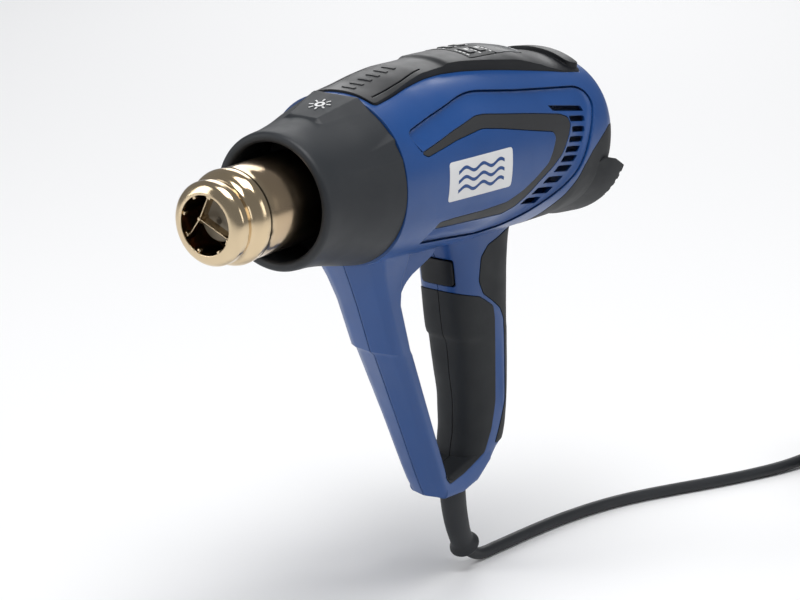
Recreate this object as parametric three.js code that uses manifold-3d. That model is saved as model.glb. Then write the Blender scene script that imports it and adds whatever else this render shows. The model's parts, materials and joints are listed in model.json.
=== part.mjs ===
// Hand-held hot-air gun with a closed D-handle, a display on top and a mains lead.
// Millimetres, +Z up. The nozzle points along -X and the handle hangs down along -Z.
// Everything is first placed with the nozzle's mouth at X = 0 and its axis on the X axis;
// the exported group then moves the middle of the hand grip to the origin.
import * as THREE from 'three';
import { mergeVertices } from 'three/addons/utils/BufferGeometryUtils.js';
import Module from 'manifold-3d';

const wasm = await Module();
wasm.setup();

// ---- driving dimensions -------------------------------------------------------------
const GAP = 0.3; // between touching pieces
const WALL = 3.6; // housing wall
const GRIP = { x: 202, z: -105 }; // middle of the hand grip, becomes the origin

const MOUTH_R = 13.3; // opening of the rolled lip
const TUBE_R = 21.3; // plain tube behind the beads
const TUBE_END = 96;
const NOSE = { front: 46, seam: 93, holeR: 27, seamR: 39.7, spigotR: 37.2 };

const BODY_X = 93; // the barrel starts at the nose seam
const DROOP = THREE.MathUtils.degToRad(3.4); // the barrel's fall towards the rear
const BODY_END = 184;
const FOOT_END = 186;
const FOOT_R = 43.7;

const CORD_R = 3.15;
const FLOOR = -227.5; // surface that the lead lies on
const CORD_Z = FLOOR + CORD_R;

// ---- materials ----------------------------------------------------------------------
const look = (color, roughness, metalness = 0) => ({ color, roughness, metalness });
const BLUE = look(0x27458f, 0.42);
const BLACK = look(0x1b1c1f, 0.5);
const CHARCOAL = look(0x303236, 0.55);
const SOFT_BLACK = look(0x222427, 0.75);
const TRIM_GREY = look(0x4a4946, 0.5);
const STRAW_STEEL = look(0xc9ab78, 0.25, 1);
const STEEL = look(0xb9bcc0, 0.3, 1);
const CERAMIC = look(0xcfc6b2, 0.8);
const MICA = look(0xa89468, 0.6);
const BOARD = look(0x1f5a38, 0.6);
const GLASSY = look(0x0c0d10, 0.08);
const WHITE_PLASTIC = look(0xe4e4de, 0.5);
const COPPER = look(0xb86b3c, 0.35, 1);

const root = new THREE.Group();
const gun = new THREE.Group();
gun.position.set(-GRIP.x, 0, -GRIP.z);
root.add(gun);
const barrel = new THREE.Group(); // frame of the drooping barrel, X along its axis
barrel.position.x = BODY_X;
barrel.rotation.y = DROOP;
gun.add(barrel);

// ---- solids -------------------------------------------------------------------------
function solid(geometry) {
  const plain = geometry.index ? geometry.clone() : geometry;
  for (const name of ['normal', 'uv']) plain.deleteAttribute(name);
  const merged = mergeVertices(plain, 1e-4);
  const at = new THREE.Vector3();
  const corners = [0, 1, 2].map(() => new THREE.Vector3());
  const index = merged.index.array;
  const faces = [];
  let volume = 0;
  for (let i = 0; i < index.length; i += 3) {
    const [a, b, c] = [index[i], index[i + 1], index[i + 2]];
    if (a === b || b === c || c === a) continue;
    faces.push(a, b, c);
    [a, b, c].forEach((k, n) => corners[n].fromBufferAttribute(merged.attributes.position, k));
    volume += corners[0].dot(at.crossVectors(corners[1], corners[2]));
  }
  if (volume < 0) {
    for (let i = 0; i < faces.length; i += 3) [faces[i], faces[i + 1]] = [faces[i + 1], faces[i]];
  }
  const mesh = new wasm.Mesh({
    numProp: 3,
    vertProperties: new Float32Array(merged.attributes.position.array),
    triVerts: new Uint32Array(faces),
  });
  return new wasm.Manifold(mesh);
}

function geometryOf(shape) {
  const mesh = shape.getMesh();
  const geometry = new THREE.BufferGeometry();
  geometry.setAttribute('position', new THREE.BufferAttribute(mesh.vertProperties, 3));
  geometry.setIndex(new THREE.BufferAttribute(mesh.triVerts, 1));
  return geometry;
}

function add(parent, name, shape, finish) {
  const geometry = geometryOf(shape.isBufferGeometry ? solid(shape) : shape);
  geometry.computeVertexNormals();
  const mesh = new THREE.Mesh(geometry, new THREE.MeshStandardMaterial(finish));
  mesh.name = name;
  parent.add(mesh);
  return mesh;
}

const box = (x0, x1, y0, y1, z0, z1) => {
  const block = new THREE.BoxGeometry(x1 - x0, y1 - y0, z1 - z0);
  return solid(block.translate((x0 + x1) / 2, (y0 + y1) / 2, (z0 + z1) / 2));
};

// Round bar along X from x0 to x1, its axis at [y, z].
const barX = (r, x0, x1, sides = 20, [y, z] = [0, 0]) => {
  const bar = new THREE.CylinderGeometry(r, r, x1 - x0, sides).rotateZ(-Math.PI / 2);
  return solid(bar.translate((x0 + x1) / 2, y, z));
};

// Round bar along Y.
const barY = (r, x, z, y0, y1, sides = 10) =>
  solid(new THREE.CylinderGeometry(r, r, y1 - y0, sides).translate(x, (y0 + y1) / 2, z));

// Round bar along Z.
const barZ = (r, x, y, z0, z1, sides = 12) => {
  const bar = new THREE.CylinderGeometry(r, r, z1 - z0, sides).rotateX(Math.PI / 2);
  return solid(bar.translate(x, y, (z0 + z1) / 2));
};

// Closed outline of [x, r] points turned about the X axis.
const turned = (outline, sides = 28) => {
  const points = [...outline, outline[0]].map(([x, r]) => new THREE.Vector2(r, x));
  return solid(new THREE.LatheGeometry(points, sides).rotateZ(-Math.PI / 2));
};

const outlineShape = (points) => new THREE.Shape(points.map(([a, b]) => new THREE.Vector2(a, b)));
const straight = (depth) => ({ depth, bevelEnabled: false });

// Outline of [x, z] points, run through from y0 to y1.
const sidePrism = (points, y0, y1) => {
  const slab = new THREE.ExtrudeGeometry(outlineShape(points), straight(y1 - y0));
  return solid(slab.rotateX(Math.PI / 2).translate(0, y1, 0));
};

// Outline of [x, y] points, run through from z0 to z1.
const planPrism = (points, z0, z1) =>
  solid(new THREE.ExtrudeGeometry(outlineShape(points), straight(z1 - z0)).translate(0, 0, z0));

const joined = (shapes) => shapes.reduce((all, one) => all.add(one));

// A cut can leave crumbs; the piece is its largest body.
const biggest = (shape) =>
  shape.decompose().reduce((best, one) => (one.volume() > best.volume() ? one : best));

// Outline grown outwards by `by`, mitred at its corners; points go anticlockwise.
function grown(points, by) {
  const area = points.reduce((sum, [x, y], i) => {
    const [nx, ny] = points[(i + 1) % points.length];
    return sum + x * ny - nx * y;
  }, 0);
  const side = area > 0 ? 1 : -1;
  return points.map(([x, y], i) => {
    const before = points[(i + points.length - 1) % points.length];
    const after = points[(i + 1) % points.length];
    const one = new THREE.Vector2(x - before[0], y - before[1]).normalize();
    const two = new THREE.Vector2(after[0] - x, after[1] - y).normalize();
    const out = new THREE.Vector2((one.y + two.y) * side, -(one.x + two.x) * side).normalize();
    const stretch = by / Math.max(0.4, out.x * one.y * side - out.y * one.x * side);
    return [x + out.x * stretch, y + out.y * stretch];
  });
}

// Skin through closed rings of [x, y, z] points, all with the same count.
function loft(rings) {
  const sides = rings[0].length;
  const profile = [new THREE.Vector2(0, 0), ...rings.map((_, i) => new THREE.Vector2(1, i))];
  profile.push(new THREE.Vector2(0, rings.length - 1));
  const geometry = new THREE.LatheGeometry(profile, sides);
  const middle = (ring) => [0, 1, 2].map((k) => ring.reduce((sum, p) => sum + p[k], 0) / sides);
  const first = middle(rings[0]);
  const last = middle(rings[rings.length - 1]);
  for (let s = 0; s <= sides; s += 1) {
    for (let j = 0; j < profile.length; j += 1) {
      const inner = j > 0 && j < profile.length - 1;
      const end = j === 0 ? first : last;
      const point = inner ? rings[j - 1][s % sides] : end;
      geometry.attributes.position.setXYZ(s * profile.length + j, ...point);
    }
  }
  return solid(geometry);
}

const power = (value, n) => Math.sign(value) * Math.abs(value) ** (2 / n);

// ---- outer shapes, each with an inset -------------------------------------------------
// Barrel: [place on its axis, half width, height above, depth below the axis].
const BARREL = [
  [-4, 39.7, 39.7, 39.7],
  [12, 40.5, 41.4, 40.4],
  [30, 41, 44.1, 41],
  [50, 41.3, 45.2, 41.4],
  [90, 41.5, 45.2, 41.8],
  [120, 41.5, 44.2, 41.5],
  [145, 41.5, 42.8, 41],
  [160, 41, 41.4, 40.2],
  [169, 40.1, 40.3, 38.8],
  [175, 38.4, 38.6, 36.4],
  [180, 34.6, 34.8, 32],
  [BODY_END, 26.6, 27.5, 22.5],
];
// Top cover's crown, in the same terms.
const CROWN = [
  [-4, 39.7, 40.6, 30],
  [12, 40.5, 42.8, 30],
  [30, 41, 46.4, 30],
  [43, 41.3, 48.1, 30],
  [62, 41.4, 48.7, 30],
  [66, 41.4, 50.1, 30],
  [90, 41.5, 50.4, 30],
  [112, 41.5, 50.1, 30],
  [130, 41.5, 47.4, 30],
  [145, 41.5, 43.9, 30],
  [157, 41.2, 42.2, 30],
  [170, 40.1, 41.2, 30],
];
const ROUNDNESS = 2.15;

function barrelShape(inset, { rows = BARREL, sides = 28, front = inset } = {}) {
  const rings = rows.map(([x, width, up, down], i) => {
    const place = i === 0 ? x + front : Math.min(x, BODY_END - inset);
    return Array.from({ length: sides }, (_, k) => {
      const angle = (2 * Math.PI * k) / sides;
      const tall = Math.sin(angle) > 0 ? up : down;
      const y = (width - inset) * power(Math.cos(angle), ROUNDNESS);
      return [place, y, (tall - inset) * power(Math.sin(angle), ROUNDNESS)];
    });
  });
  return loft(rings);
}

const toGun = new THREE.Matrix4().makeRotationY(DROOP).setPosition(BODY_X, 0, 0);
const inGun = (shape) => shape.transform(toGun.elements);

// Handle: [height, front, rear, half width, squareness of its front] of its upright part.
const HANDLE = [
  [-34, 162, 230, 17, 3.4],
  [-46, 167, 223, 16.6, 3.4],
  [-56, 170.5, 220.6, 16.4, 3.4],
  [-70, 173, 219.8, 16.2, 3.4],
  [-94, 177, 219.8, 16.1, 3.4],
  [-101, 181.5, 220, 16.1, 3.2],
  [-118, 183.5, 220.3, 16, 2.8],
  [-136, 186.5, 220, 15.8, 2.5],
  [-148, 186.6, 219.6, 15.2, 2.5],
  [-157, 185, 218, 14.6, 2.5],
  [-160, 184.4, 213.4, 14.2, 2.5],
  [-167, 184, 206, 13.6, 2.5],
  [-174, 180, 197, 12.6, 2.5],
];
const REAR_SQUARENESS = 2.5;

function handleShape(inset, sides = 20) {
  const rings = HANDLE.map(([z, front, rear, width, square], i) => {
    const middle = (front + rear) / 2;
    const half = (rear - front) / 2 - inset;
    const end = i === HANDLE.length - 1 ? inset : 0;
    return Array.from({ length: sides }, (_, k) => {
      const angle = (2 * Math.PI * k) / sides;
      const n = Math.cos(angle) < 0 ? square : REAR_SQUARENESS;
      const x = middle + half * power(Math.cos(angle), n);
      return [x, (width - inset) * power(Math.sin(angle), n), z + end];
    });
  });
  return loft(rings);
}

// Front strut: [height, front ridge, half width, depth]; its front is a low ridge.
const STRUT = [
  [-30, 92, 24, 30],
  [-44, 98.6, 19.6, 24],
  [-52, 102.4, 17.6, 19],
  [-64, 107.8, 16, 15],
  [-88, 117.5, 15.2, 14],
  [-94.5, 122.5, 14.6, 12.5],
  [-130, 139.5, 13, 12],
  [-160, 153.5, 12, 12],
  [-169, 158, 11.7, 18],
  [-176, 162, 11, 16],
];
const RIDGE = 5; // how far the ridge stands before the strut's side edges

function strutShape(inset) {
  const rings = STRUT.map(([z, front, width, depth], i) => {
    const end = i === STRUT.length - 1 ? inset : 0;
    const w = width - inset;
    const x0 = front + inset;
    const x1 = front + depth - inset;
    const corner = 2;
    return [
      [x0, 0],
      [x0 + RIDGE * 0.45, w * 0.7],
      [x0 + RIDGE, w],
      [x1 - corner, w],
      [x1, w - corner],
      [x1, 0],
      [x1, corner - w],
      [x1 - corner, -w],
      [x0 + RIDGE, -w],
      [x0 + RIDGE * 0.45, -w * 0.7],
    ].map(([x, y]) => [x, y, z + end]);
  });
  return loft(rings);
}

// Web that rounds the corner between strut and barrel, seen from the side. It stays solid in the middle.
const WEB = [
  [114.5, -34], [116, -68], [121.5, -68], [122.2, -61], [125.8, -56], [131, -52.6], [138.6, -50], [150, -46],
  [154, -34],
];
const WEB_HALF = 14.6;
const WEB_INSET_MAX = 2.5;
const webShape = (inset) => {
  const by = Math.min(inset, WEB_INSET_MAX);
  return sidePrism(grown(WEB, -by), by - WEB_HALF, WEB_HALF - by);
};

// Bottom bar from the strut's foot to the handle.
const BAR = [
  [167.3, -166.5, 176.8, 12.1],
  [180, -163.1, 177.4, 12.8],
  [190, -160.3, 174.4, 13.8],
  [200, -157, 167, 14.2],
];

function bottomBarShape(inset) {
  const rings = BAR.map(([x, top, down, width], i) => {
    const end = i === 0 ? inset : 0;
    const [w, z1, z0] = [width - inset, top - inset, inset - down];
    const corner = 3;
    return [
      [w, z0 + corner],
      [w, z1 - corner],
      [w - corner, z1],
      [corner - w, z1],
      [-w, z1 - corner],
      [-w, z0 + corner],
      [corner - w, z0],
      [w - corner, z0],
    ].map(([y, z]) => [x + end, y, z]);
  });
  return loft(rings);
}

const AHEAD = box(BODY_X + 0.15, 400, -60, 60, -300, 80); // all that lies behind the nose seam
const BELOW = box(BODY_X, 400, -60, 60, -300, 0);

function casing(inset, barrelSides, handleSides) {
  const frame = [handleShape(inset, handleSides), strutShape(inset), bottomBarShape(inset)];
  if (inset < WALL) frame.push(webShape(inset));
  const barrelPart = inGun(barrelShape(inset, { sides: barrelSides }));
  return barrelPart.add(joined(frame).intersect(BELOW)).intersect(AHEAD);
}
const OUTER = casing(0);
const LINING = casing(2.5, 20, 14); // floor of the recesses for the inlaid pieces
const INLAID = casing(2.2, 20, 14);
const TRIM_SIDES = { sides: 20 };

// ---- outlines of the inlaid pieces --------------------------------------------------
// Side trim, in the barrel's frame: a C that opens to the front.
const TRIM = [
  [13, 16], [39, 22.5], [59, 26.5], [66, 26.5], [105, 22], [127, 19], [133, 17], [134.5, 13.5],
  [131.5, 8], [126, 0.5], [118, -5], [109, -10], [100, -16.5], [93, -21], [84, -23.3], [58, -22.3],
  [32, -21.4], [28, -21.2], [29.5, -18.6], [42, -18.2], [63, -18.4], [83, -17.4], [94, -13.8],
  [104, -8.6], [114, -2.6], [117.5, 2.8], [120.5, 9], [118.5, 12.2], [101, 15], [77, 19], [62, 21],
  [57, 20.6], [40, 18.6], [17, 14.2],
];

// Top cover, seen from above in the barrel's frame, one side.
const COVER_EDGE = [
  [1.6, 18.5], [20, 17], [45, 14], [60, 13], [75, 14], [100, 18], [125, 21.5], [150, 24.5], [166, 24.5],
];
const COVER = [...COVER_EDGE, ...COVER_EDGE.map(([x, y]) => [x, -y]).reverse()];

// Rear foot's flush part, seen from the side in the barrel's frame.
const FOOT_SIDE = [
  [171, 8], [162, 3], [154, -2.5], [148, -9], [144, -14.5], [134, -21.5], [121, -30], [116.5, -36],
  [116.5, -60], [200, -60], [200, 8],
];

// Soft front grip and rear pad of the handle, seen from the side.
const FRONT_GRIP = [
  [168, -72], [173, -72.5], [186, -76], [197.5, -83.5], [199, -90], [199.5, -134], [197, -149],
  [193, -159], [178, -165.4], [168, -168.6], [164.5, -165], [167, -150],
];
const REAR_PAD = [
  [240, -47.5], [208, -47.5], [192, -51], [186.5, -56], [185.5, -68], [189, -75], [197, -80.5],
  [204, -86], [208.5, -93], [210.8, -136], [203, -157.4], [240, -157.4],
];
const aroundHandle = (points) => sidePrism(points, -40, 40);
const aroundBarrel = (points) => inGun(sidePrism(points, -60, 60));
const NEAR_FOOT = box(193, 400, -60, 60, -70, 60);

// ---- vents --------------------------------------------------------------------------
// [front end, rear end, height of the middle] of each slot in the barrel's side.
const VENTS = [
  [122, 151, 20.4], [135, 151, 14.8], [136, 149.5, 9.8], [132.5, 147.5, 5.3], [129.5, 144.5, 0.8],
  [127, 142, -3.6], [123, 138, -8], [115.5, 131.5, -12.6], [108.5, 125, -17.2], [102, 117.5, -21.4],
];
const VENT_TALL = 2.8;
const VENT_FALL = 0.13; // per mm towards the rear

const ventCutter = () => {
  const slots = VENTS.map(([x0, x1, z]) => {
    const half = VENT_TALL / 2;
    const fall = (VENT_FALL * (x1 - x0)) / 2;
    const front = z + fall;
    const rear = z - fall;
    const corners = [[x0, front - half], [x1, rear - half], [x1, rear + half], [x0, front + half]];
    return sidePrism(corners, -60, 60);
  });
  return joined(slots);
};

// ---- housing ------------------------------------------------------------------------
// Screws: [x, z, half width of the shell there].
const SCREWS = [
  [112.5, -52, 15], [152.5, -140, 11.5], [210, -66, 15], [205, -146, 14], [196, -36, 22],
];
const BOSS_R = 4.2;
const SCREW_R = 1.5;
const HEAD = { r: 3, tall: 2, sunk: 6 };

const BOSS_REACH = 26;
const bosses = () => {
  const posts = SCREWS.map(([x, z]) => barY(BOSS_R, x, z, -BOSS_REACH, BOSS_REACH, 8));
  return joined(posts).intersect(casing(1, 20, 14));
};

const screwHoles = () =>
  joined(
    SCREWS.flatMap(([x, z, y]) => [
      barY(SCREW_R + GAP, x, z, -y + 5, 60, 8),
      barY(HEAD.r + GAP, x, z, y - HEAD.sunk - HEAD.tall, 60),
    ]),
  );

const SWITCH_HOLE = { x0: 160, x1: 180, w: 9.8, z0: -69.4, z1: -55 };

// Both halves of a shell, cut along the middle.
const SIDES = {
  left: box(-10, 400, -80, -GAP / 2, -300, 80),
  right: box(-10, 400, GAP / 2, 80, -300, 80),
};

function makeHousing() {
  const inner = casing(WALL, 16, 10);
  const trimRecess = inGun(sidePrism(grown(TRIM, GAP), -60, 60).subtract(barrelShape(1.9, TRIM_SIDES)));
  const footRecess = aroundBarrel(grown(FOOT_SIDE, GAP)).intersect(NEAR_FOOT);
  const gripRecess = aroundHandle(grown(FRONT_GRIP, GAP));
  const padRecess = aroundHandle(grown(REAR_PAD, GAP));
  const recesses = joined([footRecess, gripRecess, padRecess]).subtract(LINING).add(trimRecess);
  const { x0, x1, w, z0, z1 } = SWITCH_HOLE;
  const openings = joined([
    inGun(planPrism(grown(COVER, GAP), 20, 60)),
    inGun(ventCutter()),
    box(x0, x1, -w, w, z0, z1),
    barX(NOSE.spigotR + GAP, BODY_X - 5, BODY_X + 8, 28),
    sleeveShape(GAP),
  ]);
  const walls = OUTER.subtract(inner).add(bosses());
  const shell = walls.subtract(recesses).subtract(openings).subtract(screwHoles());
  for (const [side, half] of Object.entries(SIDES)) {
    add(gun, `housing_${side}`, biggest(shell.intersect(half)), BLUE);
  }
}

function makeInlays() {
  const barrelSkin = barrelShape(0.15).subtract(barrelShape(1.6, TRIM_SIDES));
  const trims = inGun(sidePrism(TRIM, -60, 60).intersect(barrelSkin));
  const skin = OUTER.subtract(INLAID);
  const grip = aroundHandle(FRONT_GRIP).intersect(skin);
  const beside = aroundBarrel(grown(FOOT_SIDE, GAP)).intersect(NEAR_FOOT);
  const pad = aroundHandle(REAR_PAD).intersect(skin).subtract(beside);
  for (const [side, half] of Object.entries(SIDES)) {
    add(gun, `side_trim_${side}`, biggest(trims.intersect(half)), TRIM_GREY);
    add(gun, `grip_front_${side}`, biggest(grip.intersect(half)), SOFT_BLACK);
    add(gun, `rear_pad_${side}`, biggest(pad.intersect(half)), SOFT_BLACK);
  }
}

// ---- rear foot ----------------------------------------------------------------------
const TEETH = [19, 28, 37, 46]; // degrees below the middle, on each side

function makeFoot() {
  const flush = aroundBarrel(FOOT_SIDE).intersect(NEAR_FOOT).intersect(OUTER).subtract(INLAID);
  const rimLine = [
    [140, 34], [150, 37.6], [160, 40.6], [172, 43], [FOOT_END, FOOT_R], [FOOT_END, 34], [150, 32],
  ];
  const lowerSide = [[138, -19], [152, -13.5], [168, -6.5], [200, -11.5], [200, -60], [138, -60]];
  const below = sidePrism(lowerSide, -60, 60);
  let bumper = turned(rimLine, 28).intersect(below).subtract(barrelShape(2.2));
  for (const side of [-1, 1]) {
    for (const [i, degrees] of TEETH.entries()) {
      const notch = new THREE.BoxGeometry(5 - i * 0.4, 12, 3.2).translate(FOOT_END, side * FOOT_R, 0);
      bumper = bumper.subtract(solid(notch.rotateX(-side * THREE.MathUtils.degToRad(degrees))));
    }
  }
  add(gun, 'rear_foot', biggest(flush.add(inGun(bumper))), SOFT_BLACK);
}

// ---- nozzle and heater --------------------------------------------------------------
function makeNozzle() {
  const outer = [
    [0, MOUTH_R], [0.2, 15.2], [0.9, 16.8], [2.4, 18.2], [4.6, 19], [7.4, 18.5], [9.6, 18.9],
    [13, 20], [18, 21.4], [21.5, 21.7], [23.6, 21], [26, 21.1], [TUBE_END, TUBE_R],
  ];
  const inner = [[TUBE_END, TUBE_R - 1], [25, TUBE_R - 1.5], [10, 17.6], [2, 16.2], [0.8, 13.8]];
  add(gun, 'nozzle_tube', turned([...outer, ...inner], 24), STRAW_STEEL);

  const hub = new THREE.Vector3(5, 5, 1.6);
  const strips = [95, 205, 325].map((degrees) => {
    const angle = THREE.MathUtils.degToRad(degrees);
    const end = new THREE.Vector3(hub.x, 15.2 * Math.cos(angle), 15.2 * Math.sin(angle));
    const along = end.clone().sub(hub);
    const middle = hub.clone().add(end).multiplyScalar(0.5);
    const strip = new THREE.BoxGeometry(5, along.length(), 0.6).rotateX(Math.atan2(along.z, along.y));
    return solid(strip.translate(...middle));
  });
  const pin = barX(0.9, hub.x - 3, hub.x + 3, 8, [hub.y, hub.z]);
  add(gun, 'nozzle_star', joined([...strips, pin]), STRAW_STEEL);

  const former = [[9, 0.9], [9, 8.8], [9.6, 9.4], [TUBE_END, 9.4], [TUBE_END, 0.9]];
  add(gun, 'heater_core', turned(former, 20), CERAMIC);
  const turnsOfWire = 6;
  const steps = turnsOfWire * 9;
  const helix = Array.from({ length: steps + 1 }, (_, i) => {
    const angle = (2 * Math.PI * turnsOfWire * i) / steps;
    return new THREE.Vector3(16 + (58 * i) / steps, 10.8 * Math.cos(angle), 10.8 * Math.sin(angle));
  });
  const wire = outlineShape([[0.7, 0], [0, 0.7], [-0.7, 0], [0, -0.7]]);
  const path = { steps, extrudePath: new THREE.CatmullRomCurve3(helix), bevelEnabled: false };
  add(gun, 'heater_coil', new THREE.ExtrudeGeometry(wire, path), COPPER);
  add(gun, 'mica_sleeve', turned([[27, 18.3], [27, 19.1], [TUBE_END, 19.1], [TUBE_END, 18.3]], 20), MICA);
  const flange = [[TUBE_END + GAP, 9], [TUBE_END + GAP, 34.6], [TUBE_END + 3, 34.6], [TUBE_END + 3, 9]];
  add(gun, 'heater_flange', turned(flange, 24), STEEL);
}

// ---- nose cone ----------------------------------------------------------------------
function makeNose() {
  const { front, seam, holeR, seamR, spigotR } = NOSE;
  const end = seam - 0.15;
  const skirt = [
    [front, holeR + 1.4], [front - 0.6, holeR + 2.6], [front, holeR + 3.9], [front + 1.4, holeR + 4.7],
    [front + 10, 32], [front + 22, 34.2], [front + 36, 37.4], [end, seamR],
  ];
  const spigot = [[end, spigotR], [seam + 4, spigotR], [seam + 4, spigotR - 2], [89, spigotR - 2]];
  const shield = [[89, 22.6], [87, 22.6], [87, 35]];
  const shell = turned([...skirt, ...spigot, ...shield, [front + 20, 31.4], [front + 2, holeR]], 28);
  const roof = sidePrism([[70, 30], [70, 34.4], [73, 36], [end, 41.2], [end, 30]], -20, 20);
  const outline = planPrism([[66, -8], [95, -13], [95, 13], [66, 8]], 0, 60);
  const bulge = turned([[66, 32], [66, 34.8], [82, 38.6], [end, 41], [end, 37.4], [82, 36]], 28);
  add(gun, 'nose_cone', shell.add(roof.intersect(outline).intersect(bulge)), CHARCOAL);
}

// ---- top cover, panel, display ------------------------------------------------------
const PANEL = { x0: 84, split: 106, x1: 129, w: 13.4 };
const KEYS = {
  key_temp_up: [91.5, -6],
  key_temp_down: [91.5, 6],
  key_air_up: [100.5, -6],
  key_air_down: [100.5, 6],
};
const KEY = { long: 5.4, wide: 7.4, bottom: 36 };
const RIBS = [6, 12, 18, 24, 30, 36];
const COVER_RIM = 2.4; // skirt round the cover's edge, let into the housing

const crown = (inset, front = inset) => barrelShape(inset, { rows: CROWN, front });
const aroundPoint = ([x, y], long, wide, z0, z1) =>
  box(x - long / 2, x + long / 2, y - wide / 2, y + wide / 2, z0, z1);

function makeTop() {
  const { x0, split, x1, w } = PANEL;
  const plan = planPrism(COVER, 20, 60);
  const hollow = planPrism(grown(COVER, -COVER_RIM), 20, 60).intersect(crown(3));
  const plate = plan.intersect(crown(0)).subtract(hollow).subtract(barrelShape(2));
  const lip = box(157, 166, -23, 23, 30, 60).intersect(crown(-1.7));
  const ribs = RIBS.map((x) => box(x, x + 2.6, -3.4, 3.4, 30, 60).intersect(crown(-0.5)));
  const pocket = box(x0 - GAP, x1 + GAP, -w - GAP, w + GAP, 30, 60).subtract(crown(1.5));
  const well = box(87.5, 126, -11, 11, 30, 60);
  const raised = joined([lip, ...ribs]).intersect(plan).subtract(crown(2));
  add(barrel, 'top_cover', biggest(plate.add(raised).subtract(pocket).subtract(well)), BLACK);

  const skin = crown(0).subtract(crown(1.2));
  const hole = { long: KEY.long + 2 * GAP, wide: KEY.wide + 2 * GAP };
  const keyHoles = Object.values(KEYS).map((at) => aroundPoint(at, hole.long, hole.wide, 30, 60));
  const label = box(x0, split, -w, w, 30, 60).intersect(skin).subtract(joined(keyHoles));
  add(barrel, 'control_label', label, GLASSY);
  for (const [name, at] of Object.entries(KEYS)) {
    const key = aroundPoint(at, KEY.long, KEY.wide, KEY.bottom, 60).intersect(crown(-0.6));
    add(barrel, name, key, BLACK);
  }
  add(barrel, 'lcd_window', box(split + GAP, x1, -w, w, 30, 60).intersect(skin), GLASSY);
  add(barrel, 'lcd_module', box(107, 125, -10.5, 10.5, 35, 43), WHITE_PLASTIC);
  add(barrel, 'control_board', box(72, 132, -14, 14, 33, 34.6), BOARD);
}

// ---- blower -------------------------------------------------------------------------
const FAN = { x0: 28, x1: 44, r: 29, blades: 9 };
const MOTOR = { x0: 54, x1: 104, r: 17.5, bore: 20 };
const SHAFT_R = 2.2;

function makeBlower() {
  const plate = turned([[FAN.x1 - 1.5, 5], [FAN.x1 - 1.5, FAN.r], [FAN.x1, FAN.r], [FAN.x1, 5]], 24);
  const blades = Array.from({ length: FAN.blades }, (_, i) => {
    const blade = new THREE.BoxGeometry(FAN.x1 - FAN.x0 - 1, 1.2, FAN.r - 6);
    const placed = blade.translate((FAN.x0 + FAN.x1) / 2 + 0.3, 3, (FAN.r + 4) / 2);
    return solid(placed.rotateX((2 * Math.PI * i) / FAN.blades));
  });
  const wheel = joined([barX(6, FAN.x0, FAN.x1, 12), plate, ...blades]);
  add(barrel, 'fan_impeller', wheel.subtract(barX(SHAFT_R + 0.1, FAN.x0 - 1, FAN.x1 + 1, 10)), BLACK);
  add(barrel, 'motor_shaft', barX(SHAFT_R, FAN.x0 + 1, MOTOR.x0 + MOTOR.bore, 10), STEEL);
  const can = [
    [MOTOR.x0, 0.01], [MOTOR.x0, 8], [MOTOR.x0 + 2, 8], [MOTOR.x0 + 2, MOTOR.r], [MOTOR.x1, MOTOR.r],
    [MOTOR.x1, 0.01],
  ];
  const bore = barX(SHAFT_R + GAP, MOTOR.x0 - 1, MOTOR.x0 + MOTOR.bore + 1, 10);
  add(barrel, 'motor_can', turned(can, 20).subtract(bore), STEEL);
  const shroud = [
    [FAN.x0 - 6, 18], [FAN.x0 - 6, 33.5], [FAN.x1 + 6, 33.5], [FAN.x1 + 6, 22], [FAN.x1 + 3.5, 22],
    [FAN.x1 + 3.5, 31.5], [FAN.x0 - 3.5, 31.5], [FAN.x0 - 3.5, 18],
  ];
  add(barrel, 'fan_shroud', turned(shroud, 24), BLACK);
  const ring = turned([[66, MOTOR.r + GAP], [66, 35.5], [70, 35.5], [70, MOTOR.r + GAP]], 20);
  const windows = [45, 135, 225, 315].map((degrees) =>
    solid(new THREE.BoxGeometry(10, 22, 9).translate(68, 0, 27).rotateX(THREE.MathUtils.degToRad(degrees))),
  );
  add(barrel, 'motor_bracket', ring.subtract(joined(windows)), BLACK);
}

// ---- handle contents ----------------------------------------------------------------
const CLAMP = { x: 197, z: -134, screwY: 6.6 };

function makeHandleContents() {
  const { x0, w, z0, z1 } = SWITCH_HOLE;
  const face = handleShape(-0.8, 28).intersect(box(x0, 178.4, 0.5 - w, w - 0.5, z0 + 0.6, z1 - 0.6));
  const stem = box(174, 177.6, -5, 5, -66, -60);
  add(gun, 'switch_rocker', biggest(face.subtract(handleShape(2.4, 28)).add(stem)), BLACK);
  add(gun, 'switch_body', box(181.6, 203, -8.6, 8.6, -72, -53), BLACK);
  add(gun, 'capacitor', barZ(5.5, 204, 0, -102, -82, 12), BLUE);
  add(gun, 'terminal_block', box(193, 205, -8, 8, -122, -107), WHITE_PLASTIC);
  const bar = box(CLAMP.x, CLAMP.x + 6, -10, 10, CLAMP.z - 4, CLAMP.z + 4);
  const notch = barZ(3.7, CLAMP.x - 2, 0, CLAMP.z - 6, CLAMP.z + 6, 12);
  const places = { clamp_screw_front: -CLAMP.screwY, clamp_screw_rear: CLAMP.screwY };
  const holes = Object.values(places).map((y) => barX(1.6, CLAMP.x - 5, CLAMP.x + 12, 8, [y, CLAMP.z]));
  add(gun, 'cord_clamp', bar.subtract(joined([notch, ...holes])), BLACK);
  for (const [name, y] of Object.entries(places)) {
    const shank = barX(1.3, CLAMP.x - 1, CLAMP.x + 7, 8, [y, CLAMP.z]);
    const head = barX(2.4, CLAMP.x + 6 + GAP, CLAMP.x + 8, 8, [y, CLAMP.z]);
    add(gun, name, shank.add(head), STEEL);
  }
}

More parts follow.
